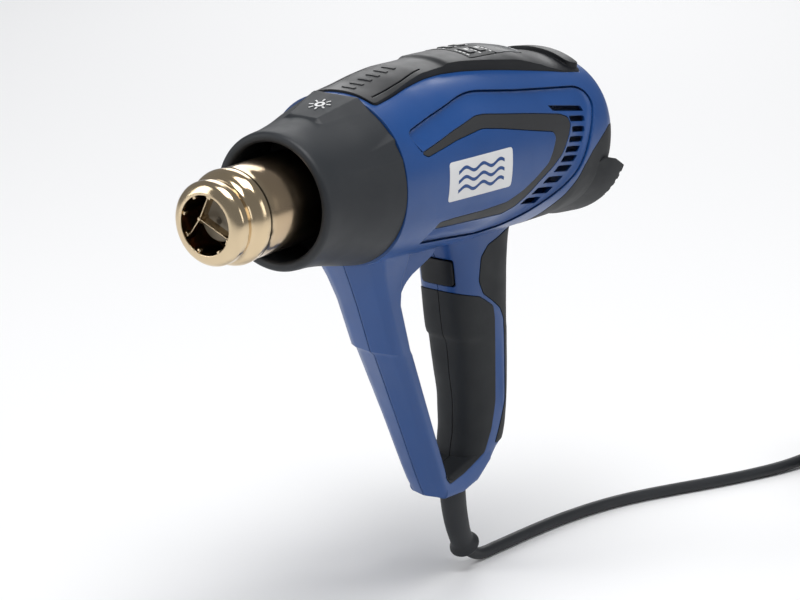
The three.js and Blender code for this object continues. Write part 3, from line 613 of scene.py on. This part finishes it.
def make_lead_ends():
    taper = [
        (0, 6.8), (0.3, 6.6), (0.6, 6.3), (0.86, 5.9), (0.9, 6.0), (0.94, 6.9), (0.985, 7.9), (1, 7.5),
    ]
    sleeve = loft(tube_rings(SLEEVE, finer(taper, 0.02)))
    anchor = softened(block(180, 192, -7, 7, -169.6, -167.4), 0.5)
    show(plus(sleeve, anchor), "relief_sleeve", "cable_rubber", replaces=["strain_relief"])

    x, y, z = PLUG["x"], PLUG["y"], PLUG["z"]
    shape = [
        (0, 4.4, 4.4), (-1.5, 5.2, 5.2), (-14, 6.2, 5.8), (-22, 12.6, 7.2), (-31, 17, 8.3), (-42, 17.9, 8.6),
        (-45, 17.4, 8.2), (-46, 16.4, 7.4),
    ]
    rings = []
    for dx, wide, tall in finer(shape, 1.0):
        square = 2 + 1.6 * min(1, max(0, (-dx - 14) / 12))
        rings.append([
            (x + dx, y + wide * power(math.cos(a), square), z + tall * power(math.sin(a), square))
            for a in np.linspace(0, 2 * math.pi, 64, endpoint=False)
        ])
    body = loft(rings)
    for side in (-1, 1):
        for k in range(5):
            rib = block(x - 40 + k * 3.2, x - 38.6 + k * 3.2, y + side * 16.6, y + side * 30, z - 20, z + 20)
            body = minus(body, rib)
    plug = show(body, "plug_grip", "cable_rubber", replaces=["plug_body"])
    parts = [plug]
    for name, side in (("left", 1), ("right", -1)):
        profile = [(-65.3, 0.05), (-65.3, 1.3), (-64.6, 2.1), (-63.4, 2.4), (-46.3, 2.4), (-46.3, 0.05)]
        pin = turned(profile, 40)
        pin = moved(pin, Matrix.Translation((x, y + side * 9.3, z)))
        parts.append(show(pin, f"plug_prong_{name}", "steel", replaces=[f"plug_pin_{name}"]))
    lo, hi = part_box("coil_tie")
    x0, x1, z0, z1 = lo.x, hi.x, lo.z, hi.z
    corner = 0.0035
    thick = 0.0008
    outline = rounded(rectangle(x0, x1, z0, z1), corner, 8)
    inner = rounded(rectangle(x0 + thick, x1 - thick, z0 + thick, z1 - thick), corner * 0.8, 8)
    rings = [
        [(a[0], lo.y, a[1]), (a[0], hi.y, a[1]), (b[0], hi.y, b[1]), (b[0], lo.y, b[1])]
        for a, b in zip(outline, inner)
    ]
    strap = loft(rings, closed=True)
    parts.append(show(strap, "lead_tie", "cable_rubber", replaces=["coil_tie"], matrix=Matrix.Identity(4)))
    return parts


def power(value, n):
    return math.copysign(abs(value) ** (2 / n), value)


# ---- outer shapes -----------------------------------------------------------------------
REACH = 60  # past the barrel's sides
ABOVE = (30, 60)  # heights that the top cover lies between
# Barrel: place on its axis, half width, height above, depth below the axis.
BARREL = [
    (-4, 39.7, 39.7, 39.7), (12, 40.5, 41.4, 40.4), (30, 41, 44.1, 41), (50, 41.3, 45.2, 41.4),
    (90, 41.5, 45.2, 41.8), (120, 41.5, 44.2, 41.5), (145, 41.5, 42.8, 41), (160, 41, 41.4, 40.2),
    (169, 40.1, 40.3, 38.8), (175, 38.4, 38.6, 36.4), (180, 34.6, 34.8, 32), (183.4, 28, 29, 24.5),
    (185.2, 19, 20, 16), (186, 6, 6, 6),
]
CROWN = [
    (-4, 39.7, 40.6, 30), (12, 40.5, 42.8, 30), (30, 41, 46.4, 30), (43, 41.3, 48.1, 30),
    (62, 41.4, 48.7, 30),
    (66, 41.4, 50.1, 30), (90, 41.5, 50.4, 30), (112, 41.5, 50.1, 30), (130, 41.5, 47.4, 30),
    (145, 41.5, 43.9, 30), (157, 41.2, 42.2, 30), (170, 40.1, 41.2, 30),
]
ROUNDNESS = 2.15
HANDLE = [
    (-34, 162, 230, 17, 3.4), (-46, 167, 223, 16.6, 3.4), (-56, 170.5, 220.6, 16.4, 3.4),
    (-70, 173, 219.8, 16.2, 3.4), (-94, 177.3, 219.8, 16.1, 3.4), (-97.8, 178.6, 219.9, 16.1, 3.3),
    (-99.2, 180, 220, 16.1, 3.2), (-104, 181.4, 220, 16.1, 3.2), (-118, 183.5, 220.3, 16, 2.8),
    (-136, 186.5, 220, 15.8, 2.5), (-148, 186.6, 219.6, 15.2, 2.5), (-157, 185, 218, 14.6, 2.5),
    (-160, 184.4, 213.4, 14.2, 2.5), (-167, 184, 206, 13.6, 2.5), (-174, 180, 197, 12.6, 2.5),
]
REAR_SQUARENESS = 2.5
STRUT = [
    (-30, 92, 24, 30), (-44, 98.6, 19.6, 24), (-52, 102.4, 17.6, 19), (-64, 107.8, 16, 15),
    (-89, 117.9, 15.2, 13.8),
    (-91.6, 121.1, 14.8, 12.6), (-130, 139.5, 13, 12), (-160, 153.5, 12, 11.5),
    (-166, 156.5, 11.8, 11), (-169, 158, 11.7, 18),
    (-176, 162, 11, 16),
]
RIDGE = 5
WEB = [
    (114.5, -34), (116, -68), (121.5, -68), (122.2, -61), (125.8, -56), (131, -52.6), (138.6, -50),
    (150, -46),
    (154, -34),
]
WEB_HALF = 14.6
BAR = [
    (166, -167, 177, 11.5), (180, -163.1, 177.4, 12.8), (190, -160.3, 174.4, 13.8),
    (200, -157, 167, 14.2),
]
OUTLINE = rounded([
    (13.5, 16.5), (9.5, 22), (9, 25.6), (27, 30), (53, 35), (62, 36), (70, 36), (100, 33), (125, 31),
    (150, 29),
    (157, 26), (159, 20), (156, 14), (152, 6), (148, -3), (143, -11), (135, -17), (125, -22), (110, -28),
    (95, -32), (75, -33), (45, -30), (24, -28.4),
], 4, closed=False) + [(25.4, -25), (27.6, -21.6)]
TRIM_OUTER = [
    (13, 16), (39, 22.5), (59, 26.5), (66, 26.5), (105, 22), (127, 19), (133, 17), (134.5, 13.5), (131.5, 8),
    (126, 0.5), (118, -5), (109, -10), (100, -16.5), (93, -21), (84, -23.3), (58, -22.3), (32, -21.4),
    (28, -21.2),
]
TRIM = rounded([
    *TRIM_OUTER, (29.5, -18.6), (42, -18.2), (63, -18.4), (83, -17.4), (94, -13.8), (104, -8.6), (114, -2.6),
    (117.5, 2.8), (120.5, 9), (118.5, 12.2), (101, 15), (77, 19), (62, 21), (57, 20.6), (40, 18.6),
    (17, 14.2),
], 1.5, 4)
COVER_EDGE = [
    (1.6, 18.5), (20, 17), (45, 14), (60, 13), (75, 14), (100, 18), (125, 21.5), (150, 24.5), (166, 24.5),
]
COVER = rounded([*COVER_EDGE, *[(x, -y) for x, y in reversed(COVER_EDGE)]], 3)
FOOT_SIDE = [
    (171, 8), (162, 3), (154, -2.5), (148, -9), (145, -15), (139, -23), (132, -29), (128, -34), (126, -60),
    (200, -60), (200, 8),
]
FRONT_GRIP = rounded([
    (168, -72), (173, -72.5), (186, -76), (197.5, -83.5), (199, -90), (200.8, -134), (198.6, -149),
    (194.4, -160),
    (178.5, -166.4), (168, -169), (164.5, -165), (167, -150),
], 1.4, 4)
REAR_PAD = rounded([
    (240, -47.5), (208, -47.5), (192, -51), (186.5, -56), (185.5, -68), (189, -75), (197, -80.5), (204, -86),
    (208.5, -93), (210.8, -136), (203, -157.4), (240, -157.4),
], 1.4, 4)
# Each vent slot's front and rear end, the height of its middle, and how far its ends lean.
VENTS = [
    (122, 151, 20.4, -0.6), (135, 151, 14.8, 0), (136, 149.5, 9.8, 0), (132.5, 147.5, 5.3, 0.3),
    (129.5, 144.5, 0.8, 0.6), (127, 142, -3.6, 0.9), (123, 138, -8, 1.2), (115.5, 131.5, -12.6, 1.4),
    (108.5, 125, -17.2, 1.4), (102, 117.5, -21.4, 1.3),
]
VENT_TALL = 2.8
VENT_FALL = 0.13
BAND_DEPTH = 2.5
WALL = 3.6


def barrel_shape(inset, rows=BARREL, sides=240, step=1.2, band=False):
    """Solid of the barrel, or of the crown's rows, with its skin moved in by inset."""
    table = finer(rows, step)
    table[0, 0] += inset
    angles = np.arange(sides) * 2 * math.pi / sides
    across = np.sign(np.cos(angles)) * np.abs(np.cos(angles)) ** (2 / ROUNDNESS)
    over = np.sign(np.sin(angles)) * np.abs(np.sin(angles)) ** (2 / ROUNDNESS)
    rings = []
    for x, width, up, down in table:
        tall = np.where(over > 0, up, down) - inset
        y = max(0.5, width - inset) * across
        z = np.maximum(0.5, tall) * over
        if band:
            spots = np.column_stack([np.full(sides, x), z])
            out = np.maximum(0, -line_distance(spots, OUTLINE))
            trim = np.maximum(0, line_distance(spots, TRIM_OUTER))
            share = out / np.maximum(out + trim, 1e-6)
            depth = BAND_DEPTH * np.minimum(1, (out + trim) / 7)
            y = np.sign(y) * (np.abs(y) - depth * np.sin(math.pi * share**0.6))
        place = min(x, rows[-1][0] - inset)
        rings.append([(place, a, b) for a, b in zip(y, z)])
    return loft(rings)


def handle_shape(inset, sides=96):
    rings = []
    table = finer(HANDLE, 2.0)
    for i, (z, front, rear, width, square) in enumerate(table):
        middle, half = (front + rear) / 2, (rear - front) / 2 - inset
        end = inset if i == len(table) - 1 else 0
        ring = []
        for a in np.arange(sides) * 2 * math.pi / sides:
            n = square if math.cos(a) < 0 else REAR_SQUARENESS
            across = (width - inset) * power(math.sin(a), n)
            ring.append((middle + half * power(math.cos(a), n), across, z + end))
        rings.append(ring)
    return loft(rings)


def strut_shape(inset):
    rings = []
    for i, (z, front, width, depth) in enumerate(STRUT):
        w, x0, x1, corner = width - inset, front + inset, front + depth - inset, 2
        ridge = min(RIDGE, (x1 - x0 - corner) * 0.6)
        half = [
            (x0, 0), (x0 + ridge * 0.45, w * 0.7), (x0 + ridge, w),
            (x1 - corner, w), (x1, w - corner), (x1, 0),
        ]
        ring = half + [(x, -y) for x, y in reversed(half[1:-1])]
        end = inset if i == len(STRUT) - 1 else 0
        rings.append([(x, y, z + end) for x, y in rounded(ring, 1.4, 4, straight=math.pi)])
    return loft(rings)


def web_shape(inset):
    by = min(inset, 2.5)
    curve = rounded(WEB, 3, 6)
    return softened(side_prism(grown(curve, -by), by - WEB_HALF, WEB_HALF - by), 2.2, 5, 60)


def bar_shape(inset):
    rings = []
    for i, (x, top, down, width) in enumerate(BAR):
        w, z1, z0 = width - inset, top - inset, inset - down
        corners = [(w, z0), (w, z1), (-w, z1), (-w, z0)]
        end = inset if i == 0 else 0
        rings.append([(x + end, y, z) for y, z in rounded(corners, 3.5, 6)])
    return loft(rings)


def casing(inset, band=False):
    frame_parts = [strut_shape(inset), bar_shape(inset)]
    if inset < WALL:
        frame_parts.append(web_shape(inset))
    lower = both(plus(handle_shape(inset), *frame_parts), block(BODY_X, 400, -REACH, REACH, -300, 0))
    upper = in_gun(barrel_shape(inset, band=band))
    return both(plus(upper, lower), block(BODY_X + 0.15, 400, -REACH, REACH, -300, 80))


def around_handle(outline, reach=40):
    return side_prism(outline, -reach, reach)


def around_barrel(outline, reach=REACH):
    return in_gun(side_prism(outline, -reach, reach))


def near_foot():
    return block(193, 400, -REACH, REACH, -70, 60)


def halves(whole, gap=0.2):
    left = both(twin(whole), block(-10, 400, -80, -gap, -300, 80))
    right = both(whole, block(-10, 400, gap, 80, -300, 80))
    return {"left": left, "right": right}


def vent_prism(x0, x1, z, slant):
    half = VENT_TALL / 2
    lean = slant * half
    drop = VENT_FALL * (x1 - x0) / 2
    front, rear = z + drop, z - drop
    below = [(x0 - lean, front - half), (x1 - lean, rear - half)]
    above = [(x1 + lean, rear + half), (x0 + lean, front + half)]
    return in_gun(side_prism(rounded(below + above, 0.9, 4), -REACH, REACH))


BOSS_R = 4.2
BORE_R = 1.8
SHANK_R = 1.5
SCREWS = [(112.5, -52, 15), (152.5, -140, 11.5), (210, -66, 15), (205, -146, 14), (196, -36, 22)]
HEAD_R = 3.0
HEAD_SUNK = 6


def bar_y(radius, x, z, y0, y1, sides=40):
    turns = np.arange(sides) * 2 * math.pi / sides
    ring = [(x + radius * math.cos(a), z + radius * math.sin(a)) for a in turns]
    return side_prism(ring, y0, y1)


def make_housing():
    shell = minus(casing(0, band=True), casing(WALL))
    for x, z, half in SCREWS:
        boss = both(bar_y(BOSS_R, x, z, -26, 26), casing(1))
        shell = plus(shell, boss)
    lining = casing(2.5)
    for outline in (around_handle(grown(FRONT_GRIP, 0.3)), around_handle(grown(REAR_PAD, 0.3)),
                    both(around_barrel(grown(FOOT_SIDE, 0.3)), near_foot())):
        shell = minus(shell, minus(outline, twin(lining)))
    drop(lining)
    shell = minus(shell, in_gun(minus(side_prism(grown(TRIM, 0.35), -REACH, REACH), barrel_shape(1.9))))
    shell = minus(shell, in_gun(minus(ribbon_prism(OUTLINE, 1.0, REACH), barrel_shape(1.9))))
    shell = minus(shell, in_gun(plan_prism(grown(COVER, 0.3), 20, 60)))
    shell = minus(shell, *[vent_prism(*row) for row in VENTS])
    shell = minus(shell, softened(block(160, 180, -9.8, 9.8, -69.4, -55), 1.2))
    shell = minus(shell, loft(tube_rings(SLEEVE, [(0, 7.1), (0.3, 6.9), (0.6, 6.6), (0.93, 6.3)])))
    bore = [(BODY_X - 5, 0.01), (BODY_X - 5, 37.5), (BODY_X + 8, 37.5), (BODY_X + 8, 0.01)]
    shell = minus(shell, turned(bore))
    for x, z, half in SCREWS:
        hole = bar_y(BORE_R, x, z, 5 - half, REACH)
        sink = bar_y(HEAD_R + 0.3, x, z, half - HEAD_SUNK - 2, REACH)
        shell = minus(shell, hole, sink)
    for side, piece in halves(shell).items():
        show(piece, f"shell_{side}", "blue_plastic", replaces=[f"housing_{side}"], sharp=28)


def make_inlays():
    trims = minus(barrel_shape(0.25), barrel_shape(1.6))
    trims = in_gun(both(softened(side_prism(TRIM, -REACH, REACH), 0.3), trims))
    skin = minus(casing(-0.25), casing(2.2))
    grip = both(around_handle(FRONT_GRIP), twin(skin))
    beside = both(around_barrel(grown(FOOT_SIDE, 0.3)), near_foot())
    pad = minus(both(around_handle(REAR_PAD), skin), beside)
    for whole, name, node, slot in (
        (trims, "trim", "side_trim", "trim_grey"),
        (grip, "grip", "grip_front", "soft_grip"),
        (pad, "pad", "rear_pad", "soft_grip"),
    ):
        for side, piece in halves(whole).items():
            show(piece, f"{name}_{side}", slot, replaces=[f"{node}_{side}"], sharp=28)


TEETH = [25, 31, 37, 43]
FOOT_END = 186
FOOT_R = 43.7


def make_foot():
    flush = both(around_barrel(FOOT_SIDE), near_foot(), minus(casing(-0.1), casing(2.2)))
    rim = [
        (140, 34), (150, 37.6), (160, 40.6), (172, 43), (184.6, 43.7), (FOOT_END, 42.6), (FOOT_END, 34),
        (150, 32),
    ]
    lower_side = [
        (138, -19), (152, -13.5), (167, -7.5), (175, -9), (182, -12.5), (200, -22), (200, -60), (138, -60),
    ]
    below = side_prism(lower_side, -REACH, REACH)
    bumper = minus(both(turned(rim), below), barrel_shape(2.2))
    for side in (-1, 1):
        for i, degrees in enumerate(TEETH):
            edge = side * FOOT_R
            notch = block(FOOT_END - 2.5 + i * 0.2, FOOT_END + 3, edge - 6, edge + 6, -1.2, 1.2)
            turn = Matrix.Rotation(-side * math.radians(degrees), 4, "X")
            bumper = minus(bumper, moved(softened(notch, 0.4), turn))
    show(plus(in_gun(bumper), flush), "foot", "soft_grip", replaces=["rear_foot"], sharp=28)


# ---- nozzle and heater --------------------------------------------------------------------
def make_nozzle():
    bead = [
        (0.2, 15.2), (0.9, 16.9), (2.2, 18.2), (4, 18.9), (6.4, 18.9), (8.2, 18.4), (9.8, 18.1), (11.2, 18.6),
        (12.8, 20), (14.4, 21), (16.4, 21.5), (18.4, 21.4), (20.4, 20.9), (22.6, 20.7), (27, 20.9),
        (96, 21.3),
    ]
    outer = [(0, 13.3), (-0.05, 14.2), *map(tuple, finer(bead, 0.4))]
    inner = [(96, 20.3), (25, 19.8), (10, 17.6), (2, 16.2), (1.0, 14.4), (0.8, 13.6)]
    show(turned(outer + inner, 192), "outlet_tube", "straw_steel", replaces=["nozzle_tube"], sharp=40)
    hub = Vector((5, 5, 1.6))
    post = turned([(-3, 0.05), (-3, 0.7), (-2.6, 0.9), (3, 0.9), (3, 0.05)], 24)
    star = moved(post, Matrix.Translation(hub))
    for degrees in (95, 205, 325):
        a = math.radians(degrees)
        end = Vector((hub.x, 15.2 * math.cos(a), 15.2 * math.sin(a)))
        run = (end - hub).length
        slope = math.atan2(end.z - hub.z, end.y - hub.y)
        strip = softened(block(-2.5, 2.5, 0, run, -0.25, 0.25), 0.12, 2)
        tab = softened(block(-3.6, 2.2, run - 3.4, run - 0.4, -0.2, 2.2), 0.2, 2)
        arm = plus(strip, tab)
        star = plus(star, moved(arm, Matrix.Translation(hub) @ Matrix.Rotation(slope, 4, "X")))
    show(star, "outlet_star", "straw_steel", replaces=["nozzle_star"])
    for i, degrees in enumerate((15, 60, 135, 165, 240, 290)):
        a = math.radians(degrees)
        tab = softened(block(0.9, 3.2, 12.2, 15.6, -0.9, 0.9), 0.3, 2)
        tab = moved(tab, Matrix.Rotation(a, 4, "X"))
        show(tab, f"mouth_tab_{i + 1}", "straw_steel")
    former = [
        (11, 0.9), (9.6, 1.6), (9.2, 3), (9.1, 8.2), (9.4, 9.0), (10.2, 9.4), (96, 9.4), (96, 0.9),
    ]
    show(turned(former, 96), "heater_former", "ceramic", replaces=["heater_core"])


# ---- nose -------------------------------------------------------------------------------
NOSE_END = 92.85
PLATEAU = {"x0": 68.5, "front": 34.9, "rear": 40.4, "w0": 8, "w1": 12.4}


def plateau_height(x):
    rise = PLATEAU["rear"] - PLATEAU["front"]
    return PLATEAU["front"] + (x - PLATEAU["x0"]) * rise / (NOSE_END - PLATEAU["x0"])


def soft_max(a, b, k=0.5):
    return 0.5 * (a + b + math.sqrt((a - b) ** 2 + k * k))


def nose_point(x, r, angle):
    """Point of the nose's skin, with its plateau on top and a faint crease along each side."""
    y, z = r * math.cos(angle), r * math.sin(angle)
    if z > 0.55 * r and x > 60:
        share = (x - PLATEAU["x0"]) / (NOSE_END - PLATEAU["x0"])
        half = PLATEAU["w0"] + (PLATEAU["w1"] - PLATEAU["w0"]) * share
        high = plateau_height(x) - max(0, PLATEAU["x0"] - x) - 0.8 * max(0, abs(y) - half)
        z = max(z, soft_max(z, high) - 0.25) if high > z - 3 else z
    crease = math.radians(26) - (x - 60) * 0.002
    off = abs(abs(math.atan2(z, abs(y))) - crease) * r
    lift = 0.55 * math.exp(-off / 3.0) * min(1, max(0, (x - 56) / 20)) if z > 0 else 0
    stretch = 1 + lift / r
    return (x, y * stretch, z * stretch)


def make_nose():
    skin = finer([
        (45.4, 29.6), (45.7, 30.7), (46.4, 31.3), (47.4, 31.7), (56, 32.4), (68, 34.2), (82, 37.4),
        (NOSE_END, 39.7),
    ], 0.6)
    lip = [(47.5, 27), (46.2, 27.6), (45.6, 28.4)]
    inner = [
        (NOSE_END, 37.2), (97, 37.2), (97, 35.2), (89, 35.2), (89, 22.6), (87, 22.6), (87, 35), (66, 31.4),
    ]
    sides = 300
    rings = []
    for k in range(sides):
        a = 2 * math.pi * (k + 0.5) / sides
        plain = [(x, r * math.cos(a), r * math.sin(a)) for x, r in lip]
        outer = [nose_point(x, r, a) for x, r in skin]
        rings.append(plain + outer + [(x, r * math.cos(a), r * math.sin(a)) for x, r in inner])
    show(loft(rings, closed=True), "nose_shield", "charcoal_plastic", replaces=["nose_cone"], sharp=40)

    tilt = math.atan2(PLATEAU["rear"] - PLATEAU["front"], NOSE_END - PLATEAU["x0"])
    centre = Vector((81, 0, plateau_height(81) + 0.02))
    marks = []
    ring = [(2.5 * math.cos(a), 2.5 * math.sin(a)) for a in np.arange(32) * math.pi / 16]
    hole = [(1.1 * math.cos(a), 1.1 * math.sin(a)) for a in np.arange(24) * math.pi / 12]
    marks.append(minus(plan_prism(ring, 0, 0.12), plan_prism(hole, -1, 1)))
    for k in range(8):
        ray = block(3.1, 5.4, -0.42, 0.42, 0, 0.12)
        marks.append(moved(ray, Matrix.Rotation(k * math.pi / 4 + 0.2, 4, "Z")))
    sun = plus(*marks)
    moved(sun, Matrix.Translation(centre) @ Matrix.Rotation(-tilt, 4, "Y"))
    show(sun, "sun_mark", "charcoal_plastic", material=MARK_WHITE)


# ---- top cover, panel, display ------------------------------------------------------------
PANEL = {"x0": 84, "split": 106, "x1": 129, "w": 13.4}
KEYS = {
    "key_temp_up": (91.5, -6),
    "key_temp_down": (91.5, 6),
    "key_air_up": (100.5, -6),
    "key_air_down": (100.5, 6),
}
KEY = {"long": 5.4, "wide": 7.4, "bottom": 36}


def crown(inset):
    return barrel_shape(inset, rows=CROWN, step=1.5)


def around_point(at, long, wide, z0, z1, corner=1.2):
    x, y = at
    corners = rectangle(x - long / 2, x + long / 2, y - wide / 2, y + wide / 2)
    return plan_prism(rounded(corners, corner, 4), z0, z1)


RIBS = [6, 12, 18, 24, 30, 36]
COVER_RIM = 2.4


def make_top():
    x0, split, x1, w = PANEL["x0"], PANEL["split"], PANEL["x1"], PANEL["w"]
    row_from_barrel = TO_ROW @ TO_GUN
    under = both(plan_prism(grown(COVER, -COVER_RIM), 10, 70), crown(3))
    plate = minus(both(plan_prism(COVER, 20, 60), crown(0)), under)
    plate = minus(plate, barrel_shape(2))
    lip_plan = rounded([(157.5, -21), (162, -23), (166, -23), (166, 23), (162, 23), (157.5, 21)], 2.5)
    lip = both(plan_prism(lip_plan, *ABOVE), crown(-2.0))
    raised = [both(softened(block(x, x + 2.2, -3.6, 3.6, *ABOVE), 0.5), crown(-0.35)) for x in RIBS]
    for piece in (softened(lip, 0.9, 4, 40), *raised):
        plate = plus(plate, minus(piece, crown(2)))
    for side in (-1, 1):
        path = [(5, side * 14.4), (28, side * 13.6), (47, side * 10.6)]
        near = [(x, y - 0.45) for x, y in path]
        far = [(x, y + 0.45) for x, y in reversed(path)]
        strip = plan_prism(near + far, *ABOVE)
        plate = minus(plate, minus(strip, crown(0.8)))
    corners = rectangle(x0 - 0.3, x1 + 0.3, -w - 0.3, w + 0.3)
    plate = minus(plate, minus(plan_prism(rounded(corners, 2, 5), *ABOVE), crown(1.5)))
    plate = minus(plate, block(87.5, 126, -11, 11, *ABOVE))
    show(plate, "cover_top", "black_plastic", replaces=["top_cover"], matrix=row_from_barrel, sharp=28)

    skin = minus(crown(-0.15), crown(1.2))
    label = both(plan_prism(rounded(rectangle(x0, split, -w, w), 1.5, 4), *ABOVE), twin(skin))
    for at in KEYS.values():
        label = minus(label, around_point(at, KEY["long"] + 0.6, KEY["wide"] + 0.6, *ABOVE))
    show(label, "label_panel", "label_film", replaces=["control_label"], matrix=row_from_barrel)
    window = both(plan_prism(rounded(rectangle(split + 0.3, x1, -w, w), 2.5, 5), *ABOVE), skin)
    show(window, "display_glass", "display", replaces=["lcd_window"], matrix=row_from_barrel)
    # A raised strip of light steel along the window's rear edge. Its light colour stands in for the highlight
    # on the window's edge, so it is a painted highlight.
    arc = [(x1 - 2.2 - 0.03 * y * y / w, y) for y in np.linspace(-w + 1.5, w - 1.5, 24)]
    band = plan_prism(arc + [(x + 0.8, y) for x, y in reversed(arc)], *ABOVE)
    rim = both(band, minus(crown(-0.35), crown(0)))
    show(rim, "display_edge_highlight", "display", material=FINISHES["steel"], matrix=row_from_barrel)
    for name, at in KEYS.items():
        cap = both(around_point(at, KEY["long"], KEY["wide"], KEY["bottom"], 60), crown(-0.6))
        cap = softened(cap, 0.3, 3)
        place = {"body": name, "matrix": row_from_barrel}
        show(cap, name.replace("key", "button"), "black_plastic", replaces=[name], **place)
        x, y = at
        tip = -1.5 if name.endswith("down") else 1.5
        triangle = [(x, y - tip), (x + 1.4, y + tip), (x - 1.4, y + tip)]
        arrow = both(plan_prism(triangle, *ABOVE), minus(crown(-0.7), crown(-0.3)))
        show(arrow, name.replace("key", "arrow"), "black_plastic", material=MARK_WHITE, **place)
    marks = []
    for x in (86.4, 96.0, 105):
        for y in (-10.5, -8.2, -5.9, -3.6, 3.6, 5.9, 8.2, 10.5):
            marks.append(block(x - 0.55, x + 0.55, y - 0.75, y + 0.75, *ABOVE))
    rows = both(plus(*marks), minus(crown(-0.26), crown(0)))
    show(rows, "label_marks", "label_film", material=MARK_WHITE, matrix=row_from_barrel)


# ---- switch and fasteners -----------------------------------------------------------------
def make_switch():
    face = both(handle_shape(-0.9), softened(block(160, 178.4, -9.3, 9.3, -68.8, -55.6), 1.6, 5))
    face = minus(face, handle_shape(2.4))
    face = plus(face, block(174, 177.6, -5, 5, -66, -60))
    show(face, "rocker_cap", "black_plastic", body="rocker", replaces=["switch_rocker"])


def make_screws():
    for i, (x, z, half) in enumerate(SCREWS):
        top = half - HEAD_SUNK
        head = softened(bar_y(HEAD_R, x, z, top - 1.7, top), 0.4, 3)
        shank = bar_y(SHANK_R, x, z, 6 - half, top - 1)
        screw = plus(head, shank)
        for turn in (0, math.pi / 2):
            slot = block(-0.45, 0.45, top - 1, top + 1, -1.9, 1.9)
            slot = moved(slot, Matrix.Translation((x, 0, z)) @ Matrix.Rotation(turn, 4, "Y"))
            screw = minus(screw, slot)
        show(screw, f"case_screw_{i + 1}", "steel", replaces=[f"housing_screw_{i + 1}"])


def make_side_mark():
    """A plain white plate with three rising-air lines on each side, in place of any name."""
    corners = [(31, -9), (82, -9), (82, 10), (31, 9.5)]
    for side, name in ((-1, "left"), (1, "right")):
        plate = both(side_prism(rounded(corners, 2, 6), *sorted((side * 30, side * REACH))),
                     minus(barrel_shape(-0.08), barrel_shape(0.3)))
        show(in_gun(plate), f"side_plate_{name}", "blue_plastic", material=MARK_WHITE)
        waves = []
        for k in range(3):
            z = -4 + 4.4 * k
            line = [(x, z + 1.1 * math.sin((x - 40) * 2 * math.pi / 14)) for x in np.linspace(38, 75, 48)]
            band = [(x, y + 0.8) for x, y in line] + [(x, y - 0.8) for x, y in reversed(line)]
            waves.append(side_prism(band, *sorted((side * 30, side * REACH))))
        lines = both(plus(*waves), minus(barrel_shape(-0.14), barrel_shape(0.3)))
        show(in_gun(lines), f"side_waves_{name}", "blue_plastic", material=MARK_BLUE)


make_camera()
make_stage()
lead, cord_exit, cord_length = make_cord()
ends = make_lead_ends()
make_nozzle()
make_nose()
make_housing()
make_inlays()
make_foot()
make_top()
make_switch()
make_screws()
make_side_mark()

for name, node in frame["nodes"].items():
    if not node.hide_render:
        slot = next(s["material_slot"] for s in frame["record"]["subparts"] if s["node"] == name)
        node.data.materials.clear()
        node.data.materials.append(FINISHES[slot])
